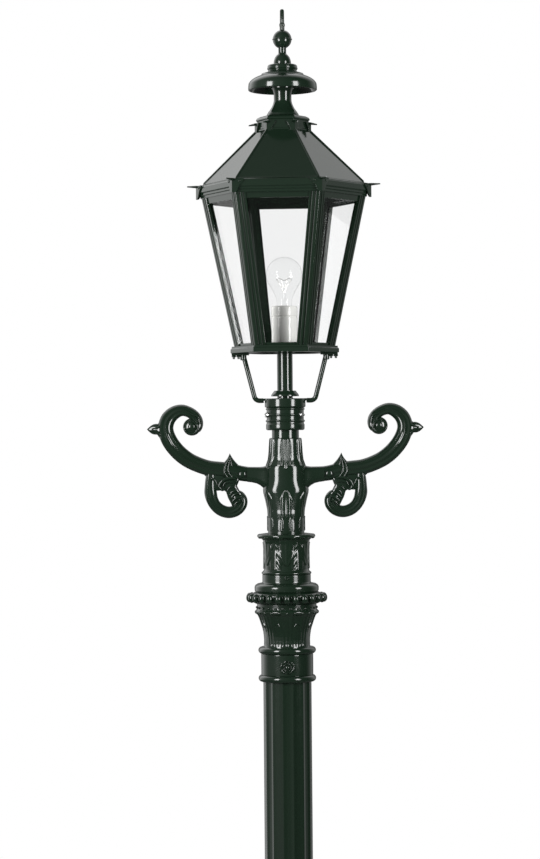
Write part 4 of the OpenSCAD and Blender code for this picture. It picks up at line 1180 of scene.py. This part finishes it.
fit("crown_ears_cast", ears(43.4, 57, CROWN_Z - 8, CROWN_Z + 12.5, 12, 3.2, 3.0), "crown_ears",
    flat=True)
fit("chimney_flared", chimney(), "chimney")
fit("chimney_cap_spun", chimney_cap(), "chimney_cap")
fit("finial_base_turned", finial_base(), "finial_base")
fit("finial_ball_turned", finial_ball(), "finial_ball")
fit("finial_spike_turned", finial_spike(), "finial_spike")

for node, obj in frame["nodes"].items():
    obj.data.materials.clear()
    obj.data.materials.append(MATERIALS[SLOT[node]])


# ---- studio

def add_floor():
    """Pale floor with painted shade in its reflections: the gloss paint mirrors it darker than it is.
    """
    radius, top = 7500, -0.5
    floor = mesh_object("studio_floor", *lathe([(radius, top - 12), (radius, top)], 0, 96, 0))
    pale = make_finish("pale_floor", (0.80, 0.80, 0.79), (0.6, 0.75), bump=(40, 0.02, 0.001))
    tree = pale.node_tree
    # Painted shade: in a glossy reflection the floor's colour drops from 0.80 to 0.14.
    mirrored = put(tree, "LightPath", {}).outputs["Is Glossy Ray"]
    reflected_floor_shade = ranged(tree, mirrored, (0.0, 1.0), (0.80, 0.14))
    tree.links.new(reflected_floor_shade, tree.nodes["Principled BSDF"].inputs["Base Color"])
    floor.data.materials.append(pale)


def add_softbox(name, azimuth, distance, height, size, power):
    """Area light on a circle round the post; azimuth 0 is in front, positive to the right."""
    data = bpy.data.lights.new(name, "AREA")
    data.shape = "RECTANGLE"
    data.size, data.size_y = size
    data.energy = power
    light = bpy.data.objects.new(name, data)
    a = math.radians(azimuth)
    light.location = (distance * math.sin(a), -distance * math.cos(a), height)
    aim = Vector((0, 0, height)) - light.location
    light.rotation_euler = aim.to_track_quat("-Z", "Y").to_euler()
    bpy.context.scene.collection.objects.link(light)
    return light


def world_gradient():
    """White to the camera; to the object a studio that is bright behind and on the left."""
    world = bpy.data.worlds.new("studio")
    bpy.context.scene.world = world
    world.use_nodes = True
    tree = world.node_tree
    tree.nodes.clear()
    way = put(tree, "TexCoord", {}).outputs["Generated"]
    split = put(tree, "SeparateXYZ", {"Vector": way}).outputs
    smooth = "SMOOTHSTEP"
    glow = ranged(tree, split["Y"], (0.0, 0.75), (0.0, 1.0), smooth)
    left = ranged(tree, split["X"], (0.6, -0.6), (1.2, 2.3), smooth)
    up = ranged(tree, split["Z"], (-0.1, 0.45), (0.6, 1.0), smooth)
    rim = ranged(tree, split["Y"], (0.76, 0.93), (1.0, 0.10), smooth)
    for factor in (left, up, rim):
        glow = put(tree, "Math", {0: glow, 1: factor}, operation="MULTIPLY").outputs[0]
    base = ranged(tree, split["X"], (0.5, -0.9), (0.06, 0.42), smooth)
    total = put(tree, "Math", {0: glow, 1: base}, operation="ADD").outputs[0]
    lit = put(tree, "Background", {"Strength": total}).outputs[0]
    seen = put(tree, "Background", {"Color": (1, 1, 1, 1)}).outputs[0]
    camera_ray = put(tree, "LightPath", {}).outputs["Is Camera Ray"]
    mix = put(tree, "MixShader", {0: camera_ray, 1: lit, 2: seen}).outputs[0]
    put(tree, "OutputWorld", {"Surface": mix})


def add_camera():
    data = bpy.data.cameras.new("camera")
    data.lens = 109.0
    data.sensor_width = 36.0
    data.clip_end = 100.0
    cam = bpy.data.objects.new("camera", data)
    cam.location = (-0.0255, -4.32, 2.302)
    cam.rotation_euler = (math.radians(90), math.radians(0.47), 0)
    bpy.context.scene.collection.objects.link(cam)
    bpy.context.scene.camera = cam


add_floor()
add_softbox("softbox_left", -44, 2.5, 2.86, (0.80, 1.9), 82)
add_softbox("softbox_right", 44, 2.5, 2.86, (0.74, 1.9), 70)
world_gradient()
add_camera()
bpy.context.scene.view_settings.view_transform = "Standard"
